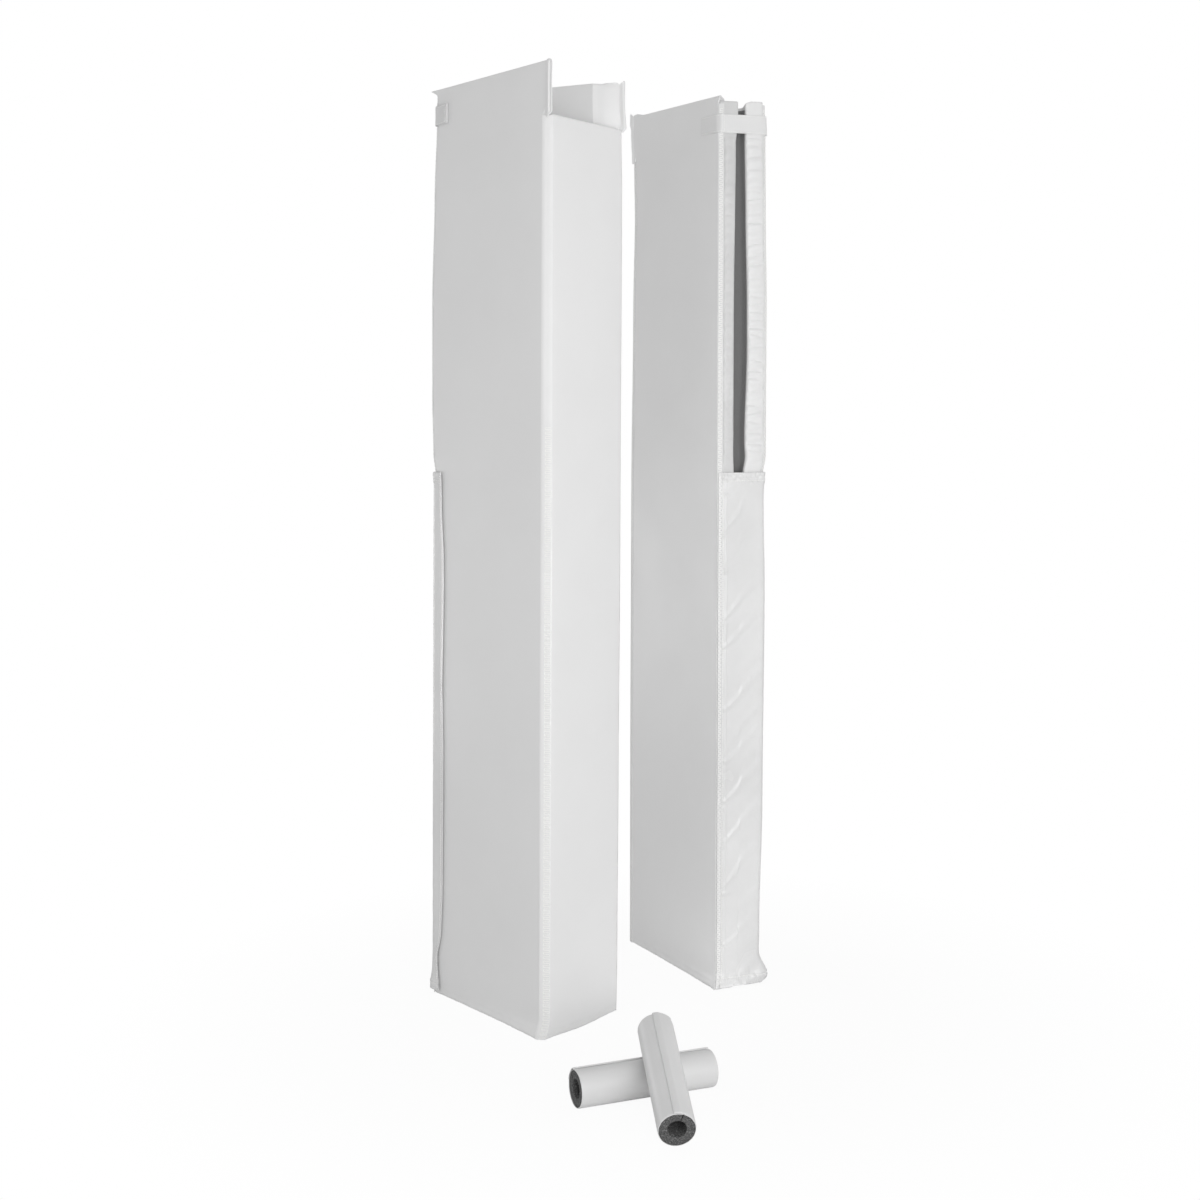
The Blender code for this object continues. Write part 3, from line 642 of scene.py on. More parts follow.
@dataclass(frozen=True)
class Slack:
    """Spare cloth in a cover that is held all round, wrinkled by a cloth simulation.

    The spots are the heights at which the seam at its left has gathered it.
    """

    seed: int
    ease: float = 0.0
    shear: float = 0.0
    pressure: float = 0.0
    bend: float = 10.0
    spots: tuple[float, ...] = ()
    step: float = 4.0 * MM
    frames: int = 24
    scale: float = 10.0

    def rest(self, x: Array, z: Array, width: float) -> Array:
        """Return where the cloth would lie without stress: longer, and sheared downward.

        Args:
            x: Distance across.
            z: Distance upward.
            width: The cloth's width.

        Returns:
            Rows by columns by 3.
        """
        off = (z[..., None] - np.array(self.spots)) / MM
        tight = 1 + (0.55 * np.tanh(off / 7) * np.exp(-np.abs(off) / 42)).sum(axis=-1)
        low = z[0, 0]
        upright = low + (z - low) * (1 + self.ease) + self.shear * (1 - x / width) ** 1.6 * tight
        return xyz(x, -0.5 * MM * ruffle(x / 0.04, z / 0.04, self.seed), upright)

    def settle(self, rest: Array, place: Array) -> Array:
        """Press the cloth into its place, and let it wrinkle.

        Args:
            rest: Where its points would lie without stress.
            place: Where they are held.

        Returns:
            How far each point stands out in the end.
        """
        scene, numbers = bpy.context.scene, np.arange(rest[..., 0].size).reshape(rest.shape[:2])
        mesh = bpy.data.meshes.new("slack")
        mesh.from_pydata((rest.reshape(-1, 3) * self.scale).tolist(), [], grid_faces(numbers))
        obj = add_object("slack", mesh)
        obj.shape_key_add(name="rest")
        key = obj.shape_key_add(name="place")
        key.data.foreach_set("co", (place * self.scale).reshape(-1))
        for frame, value in ((1, 0.0), (self.frames // 2, 1.0)):
            key.value = value
            key.keyframe_insert("value", frame=frame)
        edges = np.concatenate([numbers[:, 0], numbers[:, -1], numbers[0], numbers[-1]])
        obj.vertex_groups.new(name="held").add(edges.tolist(), 1.0, "REPLACE")
        cloth = obj.modifiers.new("cloth", "CLOTH")
        wanted = {
            "quality": 6, "mass": 0.3, "tension_stiffness": 20, "compression_stiffness": 20,
            "shear_stiffness": 7, "bending_stiffness": self.bend, "air_damping": 2,
            "vertex_group_mass": "held", "use_pressure": self.pressure > 0,
            "uniform_pressure_force": self.pressure,
        }
        for name, value in wanted.items():
            setattr(cloth.settings, name, value)
        cloth.settings.effector_weights.gravity = 0
        cloth.point_cache.frame_end = self.frames
        for frame in range(1, self.frames + 1):
            scene.frame_set(frame)
        graph, shape = bpy.context.evaluated_depsgraph_get(), np.empty(rest.size)
        obj.evaluated_get(graph).to_mesh().vertices.foreach_get("co", shape)
        out = -shape.reshape(rest.shape)[..., 1] / self.scale
        LOG.info("cloth simulation: %d points, folds to %.1f mm", numbers.size, out.max() / MM)
        scene.frame_set(1)
        bpy.data.objects.remove(obj)
        bpy.data.meshes.remove(mesh)
        return out

    def wrinkles(self, width: float, low: float, high: float) -> Relief:
        """Wrinkle a rectangle of cloth between four held edges.

        Args:
            width: Its width.
            low: Its lowest height.
            high: Its highest height.

        Returns:
            A function of distance across and height: how far the cloth stands out there.
        """
        rows, columns = (round(length / self.step) for length in (high - low, width))
        z, x = crossed(np.linspace(low, high, rows + 1), np.linspace(0, width, columns + 1))
        out = self.settle(self.rest(x, z, width), xyz(x, 0.0, z))

        def folds(x: Array, height: Array) -> Array:
            """Return how far the settled cloth stands out at places across it and up it."""
            return sample(out, (height - low) / (high - low) * rows, x / width * columns)

        return folds


@dataclass
class Form:
    """Points and faces that grow into one piece's mesh."""

    points: list[Array] = field(default_factory=list)
    faces: list[tuple[int, ...]] = field(default_factory=list)

    def add_points(self, grid: Array) -> Array:
        """Add points and return their numbers, in the shape of the grid."""
        first = sum(len(p) for p in self.points)
        self.points.append(grid.reshape(-1, 3))
        return first + np.arange(grid[..., 0].size).reshape(grid.shape[:-1])

    def add_loft(self, loops: Array) -> Form:
        """Skin closed loops one after the other and close both ends.

        Args:
            loops: Loops by points by 3.

        Returns:
            The form.
        """
        numbers = self.add_points(loops)
        self.faces += grid_faces(np.concatenate([numbers, numbers[:, :1]], axis=1))
        self.faces += [tuple(numbers[0, ::-1].tolist()), tuple(numbers[-1].tolist())]
        return self

    def add_sheet(self, outer: Array, inner: Array) -> Form:
        """Fill the space between two grids, whose normals point from inner to outer.

        Args:
            outer: Rows by columns by 3.
            inner: The same shape, on the other side.

        Returns:
            The form.
        """
        top, low = self.add_points(outer), self.add_points(inner)
        self.faces += grid_faces(top) + [face[::-1] for face in grid_faces(low)]
        rims = ([n[0], n[:, -1], n[-1, ::-1], n[::-1, 0]] for n in (top, low))
        for pair in zip(*rims):
            self.faces += grid_faces(np.stack(pair, axis=1))
        return self

    def add_thread(self, line: Array, normals: Array, radius: float) -> None:
        """Add a thread with pointed ends along a line.

        Args:
            line: The points that it follows.
            normals: The cloth's normal at each of them.
            radius: Half its thickness.
        """
        ahead = unit(np.gradient(line, axis=0))
        across = unit(np.cross(ahead, normals))
        above = np.cross(across, ahead)
        widths = np.full(len(line), radius)
        widths[[0, -1]] *= 0.4
        turns = (np.arange(5) / 5 * 2 * math.pi)[None, :, None]
        round_it = across[:, None] * np.cos(turns) + above[:, None] * np.sin(turns)
        self.add_loft(line[:, None] + round_it * widths[:, None, None])

    def piece(self, name: str, place: Matrix, finish: Finish) -> bpy.types.Object:
        """Turn the form into a piece.

        Args:
            name: The piece's name.
            place: Where the form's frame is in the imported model's.
            finish: What it is made of.

        Returns:
            The new object, whose place is in its mesh.
        """
        mesh = bpy.data.meshes.new(name)
        mesh.from_pydata(np.concatenate(self.points).tolist(), [], self.faces)
        mesh.transform(place)
        mesh.shade_smooth()
        mesh.set_sharp_from_angle(angle=math.radians(50))
        mesh.materials.append(bpy.data.materials.get(finish.name) or finish.build())
        LOG.info("piece %s: %d points", name, len(mesh.vertices))
        return add_object(name, mesh)


@dataclass
class Cloth:
    """The outer face of a piece of cloth as a grid of points, which stitches can lie on."""

    outer: Array

    def at(self, rows: Array, columns: Array) -> tuple[Array, Array]:
        """Return points and unit normals of the cloth.

        Args:
            rows: Row positions, which needn't be whole.
            columns: Column positions, which needn't be whole.

        Returns:
            The points and the normals.
        """
        grids = (self.outer, grid_normals(self.outer))
        points, normals = (sample(grid, rows, columns) for grid in grids)
        return points, unit(normals)

    def row_of(self, height: Array | float) -> Array:
        """Return the row position of a height, on the grid's middle column."""
        heights = self.outer[:, self.outer.shape[1] // 2, 2]
        return np.interp(height, heights, np.arange(len(heights)))


@dataclass(frozen=True)
class Lockstitch:
    """A straight row of machine stitches."""

    pitch: float = 4.6 * MM
    share: float = 0.70
    radius: float = 0.55 * MM
    proud: float = 0.15 * MM

    def sew(self, form: Form, cloth: Cloth, path: Array) -> None:
        """Sew a row of stitches.

        Args:
            form: The form that gets them.
            cloth: What they are sewn on.
            path: Row and column positions along the seam.
        """
        steps = np.arange(len(path))
        fine = np.linspace(0, len(path) - 1, 60 * len(path))
        points, _ = cloth.at(*(np.interp(fine, steps, line) for line in path.T))
        run = run_along(points)
        sunk = np.array([-0.5, 0.1, 0.3, 0.1, -0.5])[:, None] * self.radius + self.proud
        for k in range(int(run[-1] / self.pitch)):
            along = (k + np.array([0.0, 0.2, 0.5, 0.8, 1.0]) * self.share) * self.pitch
            spots = np.interp(along, run, fine)
            points, normals = cloth.at(*(np.interp(spots, steps, line) for line in path.T))
            form.add_thread(points + normals * sunk, normals, self.radius)


@dataclass(frozen=True)
class Zigzag:
    """A wide row of machine stitches whose bars run across the strip that joins two panels."""

    pitch: float = 4.1 * MM
    width: float = 8.0 * MM
    radius: float = 0.75 * MM

    def sew(self, form: Form, strip: Cloth, across: Array, start: float, end: float) -> None:
        """Sew the row upright on a strip.

        Args:
            form: The form that gets the stitches.
            strip: What they are sewn on.
            across: How far each of the strip's columns is from the row's middle.
            start: The lowest height.
            end: The highest height.
        """
        count = int((end - start) / self.pitch)
        turns = np.tile([-0.3, 0.0, 0.0, 0.3], count) * MM
        heights = np.repeat(start + np.arange(count) * self.pitch, 4) + turns
        offsets = np.tile([-0.5, -0.46, 0.46, 0.5], count).reshape(count, 4)
        offsets[1::2] *= -1
        columns = np.interp(offsets.reshape(-1) * self.width, across, np.arange(len(across)))
        line, normals = strip.at(strip.row_of(heights), columns)
        form.add_thread(line + normals * self.radius * 0.4, normals, self.radius)


# --- what every sub-assembly needs ----------------------------------------------------------


@dataclass(frozen=True)
class Role:
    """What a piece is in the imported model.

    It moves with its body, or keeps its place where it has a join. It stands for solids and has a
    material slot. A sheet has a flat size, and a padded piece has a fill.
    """

    body: str
    solids: tuple[str, ...] = ()
    slot: Slot | None = None
    flat: tuple[float, float] | None = None
    held: str = "stretched"
    rests_on: tuple[str, ...] = ()
    fill: float | None = None
    join: tuple[str, Vector, Vector] | None = None

    def declare(self, obj: bpy.types.Object, prefix: str, frame: Matrix) -> None:
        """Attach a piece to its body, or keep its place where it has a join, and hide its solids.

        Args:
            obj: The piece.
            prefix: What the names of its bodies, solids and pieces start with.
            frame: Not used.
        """
        if self.join:
            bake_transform(obj)
        else:
            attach(obj, prefix + self.body)
        if self.solids:
            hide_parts(*(prefix + solid for solid in self.solids))


@dataclass(frozen=True)
class Stand:
    """Where one pad stands, and how its soft panels stand there.

    The swing corner is drawn in by the strap and the flap and springs out between them. The top
    sinks a little at some corners, and two corners splay at the floor.
    """

    side: Side
    place: Matrix
    drawn: Knots
    front_drawn: Knots
    sunk: tuple[float, float, float, float]
    splay: float = 15.0 * MM
    splay_height: float = 0.045

    def move(self, points: Array) -> Array:
        """Return points of the straight pad where the soft one has them.

        Args:
            points: Rows of x, y and z in the pad's frame.

        Returns:
            The moved points.
        """
        x, y, z = points.T
        deep = np.clip(y / PAD_DEPTH, 0, 1)
        across = np.clip((x - deep * TAPER) / (FRONT_WIDTH - 2 * deep * TAPER), 0, 1)
        loose = deep**2 * smooth((FRONT_WIDTH - TAPER - RETURN_LENGTH - x) / SLOT_WIDTH)
        front_left, front_right, back_right, back_left = self.sunk
        front = front_left + (front_right - front_left) * across
        back = back_left + (back_right - back_left) * across
        near_top = smooth((z - SINK_FROM) / (PAD_HEIGHT - SINK_FROM))
        z_moved = z - (front + (back - front) * deep) * near_top
        out = self.splay * (1 - smooth(z / self.splay_height)) ** 2
        near, far = (1 - across) * (1 - deep) ** 2, across * deep**2
        x = x + eased(z, self.drawn) * loose
        x = x - eased(z, self.front_drawn) * across**2 * (1 - deep) ** 2 + out * (0.5 * far - near)
        return np.column_stack([x, y + out * (0.8 * far - 0.2 * near), z_moved])

    def dress(self, form: Form, name: str, frame: Matrix, finish: Finish, role: Role) -> None:
        """Turn a form into a piece of this pad.

        Args:
            form: The form.
            name: The piece's name, without the side.
            frame: Where the form's frame is in the pad's frame.
            finish: What it is made of.
            role: What it is, with names that lack the side.
        """
        turn, origin = np.array(frame.to_3x3()), np.array(frame.translation)
        form.points = [self.move(points @ turn.T + origin) for points in form.points]
        prefix = f"{self.side.value}_"
        role.declare(form.piece(prefix + name, self.place, finish), prefix, self.place @ frame)


@dataclass(frozen=True)
class PanelEnd:
    """How one upright end of a panel is cut in plan, and how far its neighbour is cut."""

    angle: float | None = None
    bevel: float = 0.0
    other: float = 0.0
    tall: bool = False
    deeper: float = 0.0
    ear: float = 0.0
    rise: float = 0.0
    drop: float = 0.0
    outer_round: float = 4.5 * MM
    middle_round: float = 2.2 * MM
    bevel_above: float = 4.0 * MM
    inner_round: float = 3.0 * MM
    square_round: float = 3.5 * MM

    def corners(self, height: float) -> list[Corner]:
        """Return the end's corners at a height.

        Args:
            height: Height above the floor.

        Returns:
            The outer, middle and inner corner, as x from the plan corner, y and radius.
        """
        if self.angle is None:
            return [(0.0, 0.0, self.square_round), (0.0, THICKNESS, self.square_round)]
        bevel, other, above = self.bevel, self.other, 0.0
        if self.tall:
            above = float(smooth((height - FRONT_TOP + 0.004) / 0.018))
            bevel += (self.bevel_above - bevel) * above
            other += (self.bevel_above - other) * above
        half = self.angle / 2
        reach = 2 * bevel * other * math.cos(half) / (bevel + other)
        middle = np.array([reach * math.cos(half), reach * math.sin(half)])
        middle += unit(np.array([bevel, 0.0]) - middle) * MITRE_GAP / 2
        inner = THICKNESS / math.tan(half) + MITRE_GAP / 2 / math.sin(half) + self.deeper * above
        least = 0.42 * min(bevel, math.dist((bevel, 0.0), middle))
        return [
            (bevel, 0.0, min(self.outer_round, least)),
            (float(middle[0]), float(middle[1]), min(self.middle_round, least)),
            (inner, THICKNESS, self.inner_round),
        ]


@dataclass
class PaddedPanel:
    """One foam slab in its sewn vinyl cover, with its outer face on y = 0 of its frame."""

    name: str
    frame: Matrix
    length: float
    start: PanelEnd
    end: PanelEnd
    top: float
    body: str
    seed: int
    crown: float = 2.5 * MM
    inner_crown: float = 1.0 * MM
    crown_at: Profile | None = None
    wrinkle: Relief | None = None
    lean: Profile | None = None
    slot_ends: Profile | None = None
    foot_bulge: float = 0.0
    foot_round: float = 4.5 * MM
    top_round: float = 4.5 * MM
    row_step: float = 12.0 * MM
    column_step: float = 5.0 * MM
    dog_ear: float = 0.0
    end_swell: float = 3.0 * MM
    finish: Finish = PANEL_VINYL

    def corners(self, height: float) -> list[Corner]:
        """Return the plan's corners at a height, anticlockwise."""
        mirrored = [(self.length - x, y, r) for x, y, r in self.end.corners(height)]
        return mirrored + self.start.corners(height)[::-1]

    def levels(self) -> list[tuple[float, float]]:
        """Return the height of each loop of the form and how far it is drawn in.

        Returns:
            Pairs of a height and an inset, from the foot to the top.
        """
        quarter = [math.radians(90 * k / CORNER_STEPS) for k in range(CORNER_STEPS + 1)]
        foot, top = self.foot_round, self.top_round
        rows = [(0.0, foot + 5 * MM)]
        rows += [(foot * (1 - math.cos(a)), foot * (1 - math.sin(a))) for a in quarter]
        marks = [foot, 26 * MM, self.top - 12 * MM]
        if self.start.tall or self.end.tall:
            marks[2:2] = [FRONT_TOP - 6 * MM, FRONT_TOP + 16 * MM]
        for low, high in zip(marks, marks[1:]):
            step = self.row_step if high - low > 0.05 else 2.5 * MM
            count = max(2, round((high - low) / step))
            rows += [(low + (high - low) * k / count, 0.0) for k in range(1, count + 1)]
        rows += [(self.top - drop * MM, 0.0) for drop in (10.0, 8.0, 6.3)]
        rows += [(self.top - top + top * math.sin(a), top * (1 - math.cos(a))) for a in quarter]
        return rows + [(self.top + 0.5 * MM, top + 3.5 * MM), (self.top + 0.7 * MM, top + 8.5 * MM)]

    def loops(self) -> Array:
        """Return the form's loops before its padding swells.

        Returns:
            Loops by points by 3.
        """
        base = self.corners(PLAIN_HEIGHT)
        sides = zip(base, base[1:] + base[:1])
        cuts = [max(2, round(math.dist(a[:2], b[:2]) / self.column_step)) for a, b in sides]
        middle = np.array([self.length / 2, THICKNESS / 2])
        loops = []
        for height, inset in self.levels():
            outline = rounded_outline(self.corners(height), cuts)
            scale = 1 - 2 * inset / np.array([self.length, THICKNESS])
            outline = middle + (outline - middle) * scale
            loops.append(np.column_stack([outline, np.full(len(outline), height)]))
        return np.array(loops)

    def shares(self, loops: Array) -> tuple[Array, Array]:
        """Return how far along the panel and how deep in it each point is.

        Args:
            loops: The plain form.

        Returns:
            Both shares, each from 0 to 1.
        """
        deep = np.clip(loops[..., 1] / THICKNESS, 0, 1)
        first, last = self.start.corners(PLAIN_HEIGHT), self.end.corners(PLAIN_HEIGHT)
        start = first[0][0] + (first[-1][0] - first[0][0]) * deep
        end = self.length - last[0][0] - (last[-1][0] - last[0][0]) * deep
        return np.clip((loops[..., 0] - start) / (end - start), 0, 1), deep

    def upright(self, height: Array) -> Array:
        """Return 1 along the panel's height, and less toward its foot and its top."""
        return smooth(height / 0.05) * smooth((self.top - height) / 0.035)

    def swell(self, loops: Array) -> Array:
        """Push the cover out by its padding, with its hem and its wrinkles.

        Args:
            loops: The plain form.

        Returns:
            The swollen form.
        """
        along, deep = self.shares(loops)
        x, height = loops[..., 0], loops[..., 2]
        plateau = 1 - np.abs(2 * along - 1) ** 4
        upright = self.upright(height)
        crown = self.crown if self.crown_at is None else self.crown_at(height)
        waves = 0.30 * MM * ruffle(x / 0.20, height / 0.30, self.seed)
        pucker = np.exp(-np.minimum(along, 1 - along) * self.length / 0.010) * 0.30 * MM
        pucker = pucker * ruffle(along, height / 0.016, self.seed + 7, 2)
        outward = crown * plateau * upright + waves * plateau + pucker * upright
        crinkle = ruffle(x / 0.008, height / 0.009, self.seed + 9, 2)
        outward += 1.0 * MM * crinkle * (1 - smooth((height - 14 * MM) / 0.008))
        outward += self.foot_bulge * np.sin(math.pi * along) ** 2 * (1 - smooth(height / 0.09))
        if self.wrinkle is not None:
            outward = outward + self.wrinkle(x, height) * plateau * upright
        inward = self.inner_crown * plateau * upright + 0.6 * waves * plateau * upright
        hem = bell(height - 12 * MM, 2.0 * MM) * 0.5 * MM
        shaped = loops.copy()
        shaped[..., 1] += -outward * (1 - deep) + inward * deep
        shaped[..., 1] += hem * (1 - 2 * deep)
        return shaped

    def shape(self, loops: Array) -> Array:
        """Shape the swollen cover's ears, its edges beside the slot and its ends above the front.

        Args:
            loops: The plain form.

        Returns:
            The finished form.
        """
        along, deep = self.shares(loops)
        x, height = loops[..., 0], loops[..., 2]
        shaped, from_top = self.swell(loops), self.top - height
        if self.dog_ear:
            low = smooth((height - self.top + 0.05) / 0.05) * np.clip(1 - x / 0.014, 0, 1)
            shaped[..., 2] -= self.dog_ear * low * (0.2 + 0.8 * deep)
        if self.lean is not None:
            shaped[..., 1] -= self.lean(height) * x / self.length * (1 - deep)
        if self.slot_ends is not None:
            near_slot = smooth((along if self.end.angle is None else 1 - along) * 1.6 - 0.6)
            shaped[..., 0] += self.slot_ends(height) * near_slot * self.upright(height)
        near_top = np.clip(1 - from_top / (17 * MM), 0, 1) ** 1.8
        above = smooth((height - FRONT_TOP - 4 * MM) / 0.02) * smooth(from_top / 0.01)
        for near, end, way in ((along < 0.5, self.start, -1), (along >= 0.5, self.end, 1)):
            reach = smooth(np.abs(2 * along - 1) * 14 - 13) * near_top * near
            shaped[..., 0] += way * reach * end.ear * (1 - deep)
            shaped[..., 2] += reach * end.rise * np.clip(1 - 1.8 * deep, 0, 1)
            far = np.abs(2 * along - 1) if end.drop else 0.0
            shaped[..., 2] -= end.drop * far * near * smooth((height - SINK_FROM) / 0.139)
            if end.tall:
                at_end = smooth(1 - np.minimum(along, 1 - along) * self.length / (3 * MM))
                bulge = way * self.end_swell * np.sin(math.pi * deep)
                shaped[..., 0] += bulge * at_end * above * near
        return shaped

    def build(self, stand: Stand) -> None:
        """Make the panel on one of the pads.

        Args:
            stand: The pad.
        """
        role = Role(self.body, (f"{self.name}_cover", f"{self.name}_foam"), Slot.VINYL, fill=0.9)
        form = Form().add_loft(self.shape(self.loops()))
        stand.dress(form, f"{self.name}_panel", self.frame, self.finish, role)


@dataclass
class SeamFlange:
    """The flat seam edge of a side panel's cover, which stands free above the low front."""

    name: str
    frame: Matrix
    end: float
    way: int
    body: str
    corner_round: float
    seed: int
    ridge: float = 0.5 * MM
    rise: float = 0.0
    fade_below: float = 0.0
    reach: float = 9.5 * MM
    back: float = 6.0 * MM
    thickness: float = 2.2 * MM

    def build(self, stand: Stand) -> None:
        """Make the flange on one of the pads.

        Args:
            stand: The pad.
        """
        heights = np.linspace(FRONT_TOP - 7 * MM, PAD_HEIGHT - 12 * MM, 34)
        heights = np.concatenate([heights, PAD_HEIGHT - np.linspace(10, 0, 11) * MM])
        z, share = crossed(heights, np.linspace(0, 1, 17))
        from_top = PAD_HEIGHT - z
        cut = np.clip(1 - from_top / self.corner_round, 0, 1)
        rounded = self.corner_round * (1 - np.sqrt(1 - cut**2 * 0.998))
        low = 1 - smooth((z - FRONT_TOP + 7 * MM) / (10 * MM))
        low = np.maximum(low, 0.75 * (1 - smooth((z - self.fade_below) / (12 * MM))))
        x = -self.back + (self.reach - rounded - low * self.reach * 0.9 + self.back) * share
        wave = 0.8 * MM * ruffle(z / 0.035, share * 0.6, self.seed) * share
        roll = 0.9 * MM * bell(share - 0.9, 0.12)
        roll = roll + self.ridge * bell(x - 1 * MM, 2.6 * MM) * (1 - 0.8 * cut)
        face = -0.5 * MM - roll + wave
        z = z + self.rise * np.clip(share, 0, 1) ** 1.5 * np.clip(1 - from_top / 0.022, 0, 1) ** 1.5
        thick = self.thickness * (1 - 0.4 * smooth(share * 6 - 5))
        grids = [xyz(self.end + self.way * x, y, z)[:, :: self.way] for y in (face, face + thick)]
        flat = (self.reach + self.back, PAD_HEIGHT - FRONT_TOP)
        form, role = Form().add_sheet(*grids), Role(self.body, slot=Slot.VINYL, flat=flat)
        # The flange wears the lighter hinge vinyl: painted light that lifts its shaded band
        stand.dress(form, f"{self.name}_seam_flange", self.frame, LIT_HINGE_VINYL, role)


@dataclass
class Binding:
    """A vinyl strip sewn over an upright corner with a wide zigzag row."""

    name: str
    corner: Vector
    heading: float
    angle: float
    bevels: tuple[float, float]
    top: float
    body: str
    blend_to: str | None = None
    stitch_width: float = 8.0 * MM
    stitch_at: float = 0.0
    stitch_top: float = PAD_HEIGHT
    finish: Finish = STRIP_VINYL
    edge: float = 0.8 * MM
    rise: float = 1.3 * MM

    def ends(self) -> list[Vector]:
        """Return the plan points where the strip meets the two faces.

        Returns:
            The two points.
        """
        headings = (self.heading + self.angle / 2, self.heading - self.angle / 2)
        return [
            self.corner + Vector((math.cos(a), math.sin(a), 0)) * bevel
            for a, bevel in zip(headings, self.bevels)
        ]

    def frame(self) -> Matrix:
        """Return the strip's frame in the pad's frame.

        Returns:
            The frame, with x across the strip, y out of the corner and z up.
        """
        first, last = self.ends()
        along = first - last
        turn = Matrix.Rotation(math.atan2(along.y, along.x), 4, "Z")
        return Matrix.Translation((first + last) / 2) @ turn

    def build(self, stand: Stand) -> None:
        """Make the strip and its stitches on one of the pads.

        Args:
            stand: The pad.
        """
        first, last = self.ends()
        width, shares = (last - first).length, np.linspace(-1, 1, 15)
        heights = np.append(np.arange(BINDING_FOOT, self.top - 3 * MM, 2 * MM), self.top - 3 * MM)
        z, share = crossed(heights, shares)
        x = share * width * (1.03 - 0.06 * smooth(z / self.top)) / 2
        under = SEAT_GAP - 0.9 * np.maximum(np.abs(x) - width * 0.46, 0)
        dome = self.edge + self.rise * (1 - share**2) + 0.16 * MM * ruffle(share * 2, z / 0.012, 51)
        from_row = np.abs(x - self.stitch_at)
        dome -= 0.35 * MM * bell(np.abs(from_row - self.stitch_width / 2), 1.1 * MM)
        dome -= 0.5 * MM * (from_row < self.stitch_width / 2)
        outer, inner = (xyz(x, y, z)[:, ::-1] for y in (under + dome, under))
        strip, stitches = Form().add_sheet(outer, inner), Form()
        across = shares * width / 2 + self.stitch_at
        limits = (BINDING_FOOT + 4 * MM, min(self.top - 7 * MM, self.stitch_top))
        Zigzag(width=self.stitch_width).sew(stitches, Cloth(outer), across, *limits)
        join = None
        if self.blend_to:
            join = (self.blend_to, *(Vector((width * part, 0, 1)) for part in (0.1, 0.5)))
        role = Role(
            self.body, (f"{self.name}_binding",), Slot.VINYL, (width, self.top), join=join,
            rests_on=("front_panel", "fixed_side_panel", "swing_side_panel"),
        )
        stand.dress(strip, f"{self.name}_binding_vinyl", self.frame(), self.finish, role)
        thread = Role(self.body, join=join)
        stand.dress(stitches, f"{self.name}_binding_stitches", self.frame(), WHITE_THREAD, thread)


# --- strap, flap and tapes, in the frame of the back face ------------------------------------


def wrap_path(
    side_length: float, back_length: float, side_lift: float, counts: tuple[int, int, int]
) -> Array:
    """Return a path from the back face round the swing corner to its side face.

    Args:
        side_length: How far it runs along the side from the corner.
        back_length: How far it runs along the back from the corner.
        side_lift: Its height over the side face.
        counts: Pieces on the back, round the corner and on the side.

    Returns:
        Points of x and y in the back face's frame, from the back's end to the side's.
    """
    along = np.array([math.cos(BACK_ANGLE), math.sin(BACK_ANGLE)])
    outward = np.array([-math.sin(BACK_ANGLE), math.cos(BACK_ANGLE)])
    side_end = along * side_length + outward * side_lift
    back_end = np.array([back_length, -BACK_LIFT])
    corner = -(np.array([side_lift, 0.0]) + along * BACK_LIFT) / math.sin(BACK_ANGLE)
    arc = corner_arc(back_end, corner, side_end, WRAP_ROUND + STRAP_THICKNESS, counts[1])
    back = back_end + (arc[0] - back_end) * np.arange(counts[0])[:, None] / counts[0]
    shares = np.arange(1, counts[2] + 1)[:, None] / counts[2]
    path = np.concatenate([back, arc, arc[-1] + (side_end - arc[-1]) * shares])
    return np.column_stack([BACK_WIDTH - path[:, 0], path[:, 1]])


def path_normals(path: Array) -> Array:
    """Return the outward normals of a path that runs round the back with the pad on its left."""
    ahead = unit(np.gradient(path, axis=0))
    return np.stack([ahead[:, 1], -ahead[:, 0]], axis=1)


def root_join(body: str, root: float) -> tuple[str, Vector, Vector]:
    """Return how a sewn end gives way to the body that peels off."""
    return (body, Vector((root, 0, 0)), Vector((root + BLEND_SPAN, 0, 0)))


@dataclass
class SideTape:
    """A strip of hook or loop tape on the swing side, from the corner binding outward."""

    name: str
    body: str
    layer: int
    limits: tuple[float, float]
    reach: Profile

    def build(self, stand: Stand) -> None:
        """Make the tape on one of the pads.

        Args:
            stand: The pad.
        """
        rows = max(3, round((self.limits[1] - self.limits[0]) / 0.008))
        heights = np.linspace(*self.limits, rows)
        first, seat = BACK_BEVEL + 2.5 * MM, TAPE_SEAT + self.layer * TAPE + self.layer * TAPE_GAP
        z, share = crossed(heights, np.linspace(0, 1, 7))
        distance = first + (self.reach(z) - first) * share
        grids = []
        for lift in (seat + TAPE * (1 - 0.3 * np.abs(2 * share - 1) ** 8), seat):
            x = math.cos(BACK_ANGLE) * distance - math.sin(BACK_ANGLE) * lift
            y = math.sin(BACK_ANGLE) * distance + math.cos(BACK_ANGLE) * lift
            grids.append(xyz(BACK_WIDTH - x, y, z))
        flat = (float(self.reach(heights).mean() - first), float(heights[-1] - heights[0]))
        role = Role(self.body, (self.name,), Slot.TAPE, flat, "laid")
        stand.dress(Form().add_sheet(*grids), f"{self.name}_pile", BACK_FRAME, WHITE_LOOP, role)


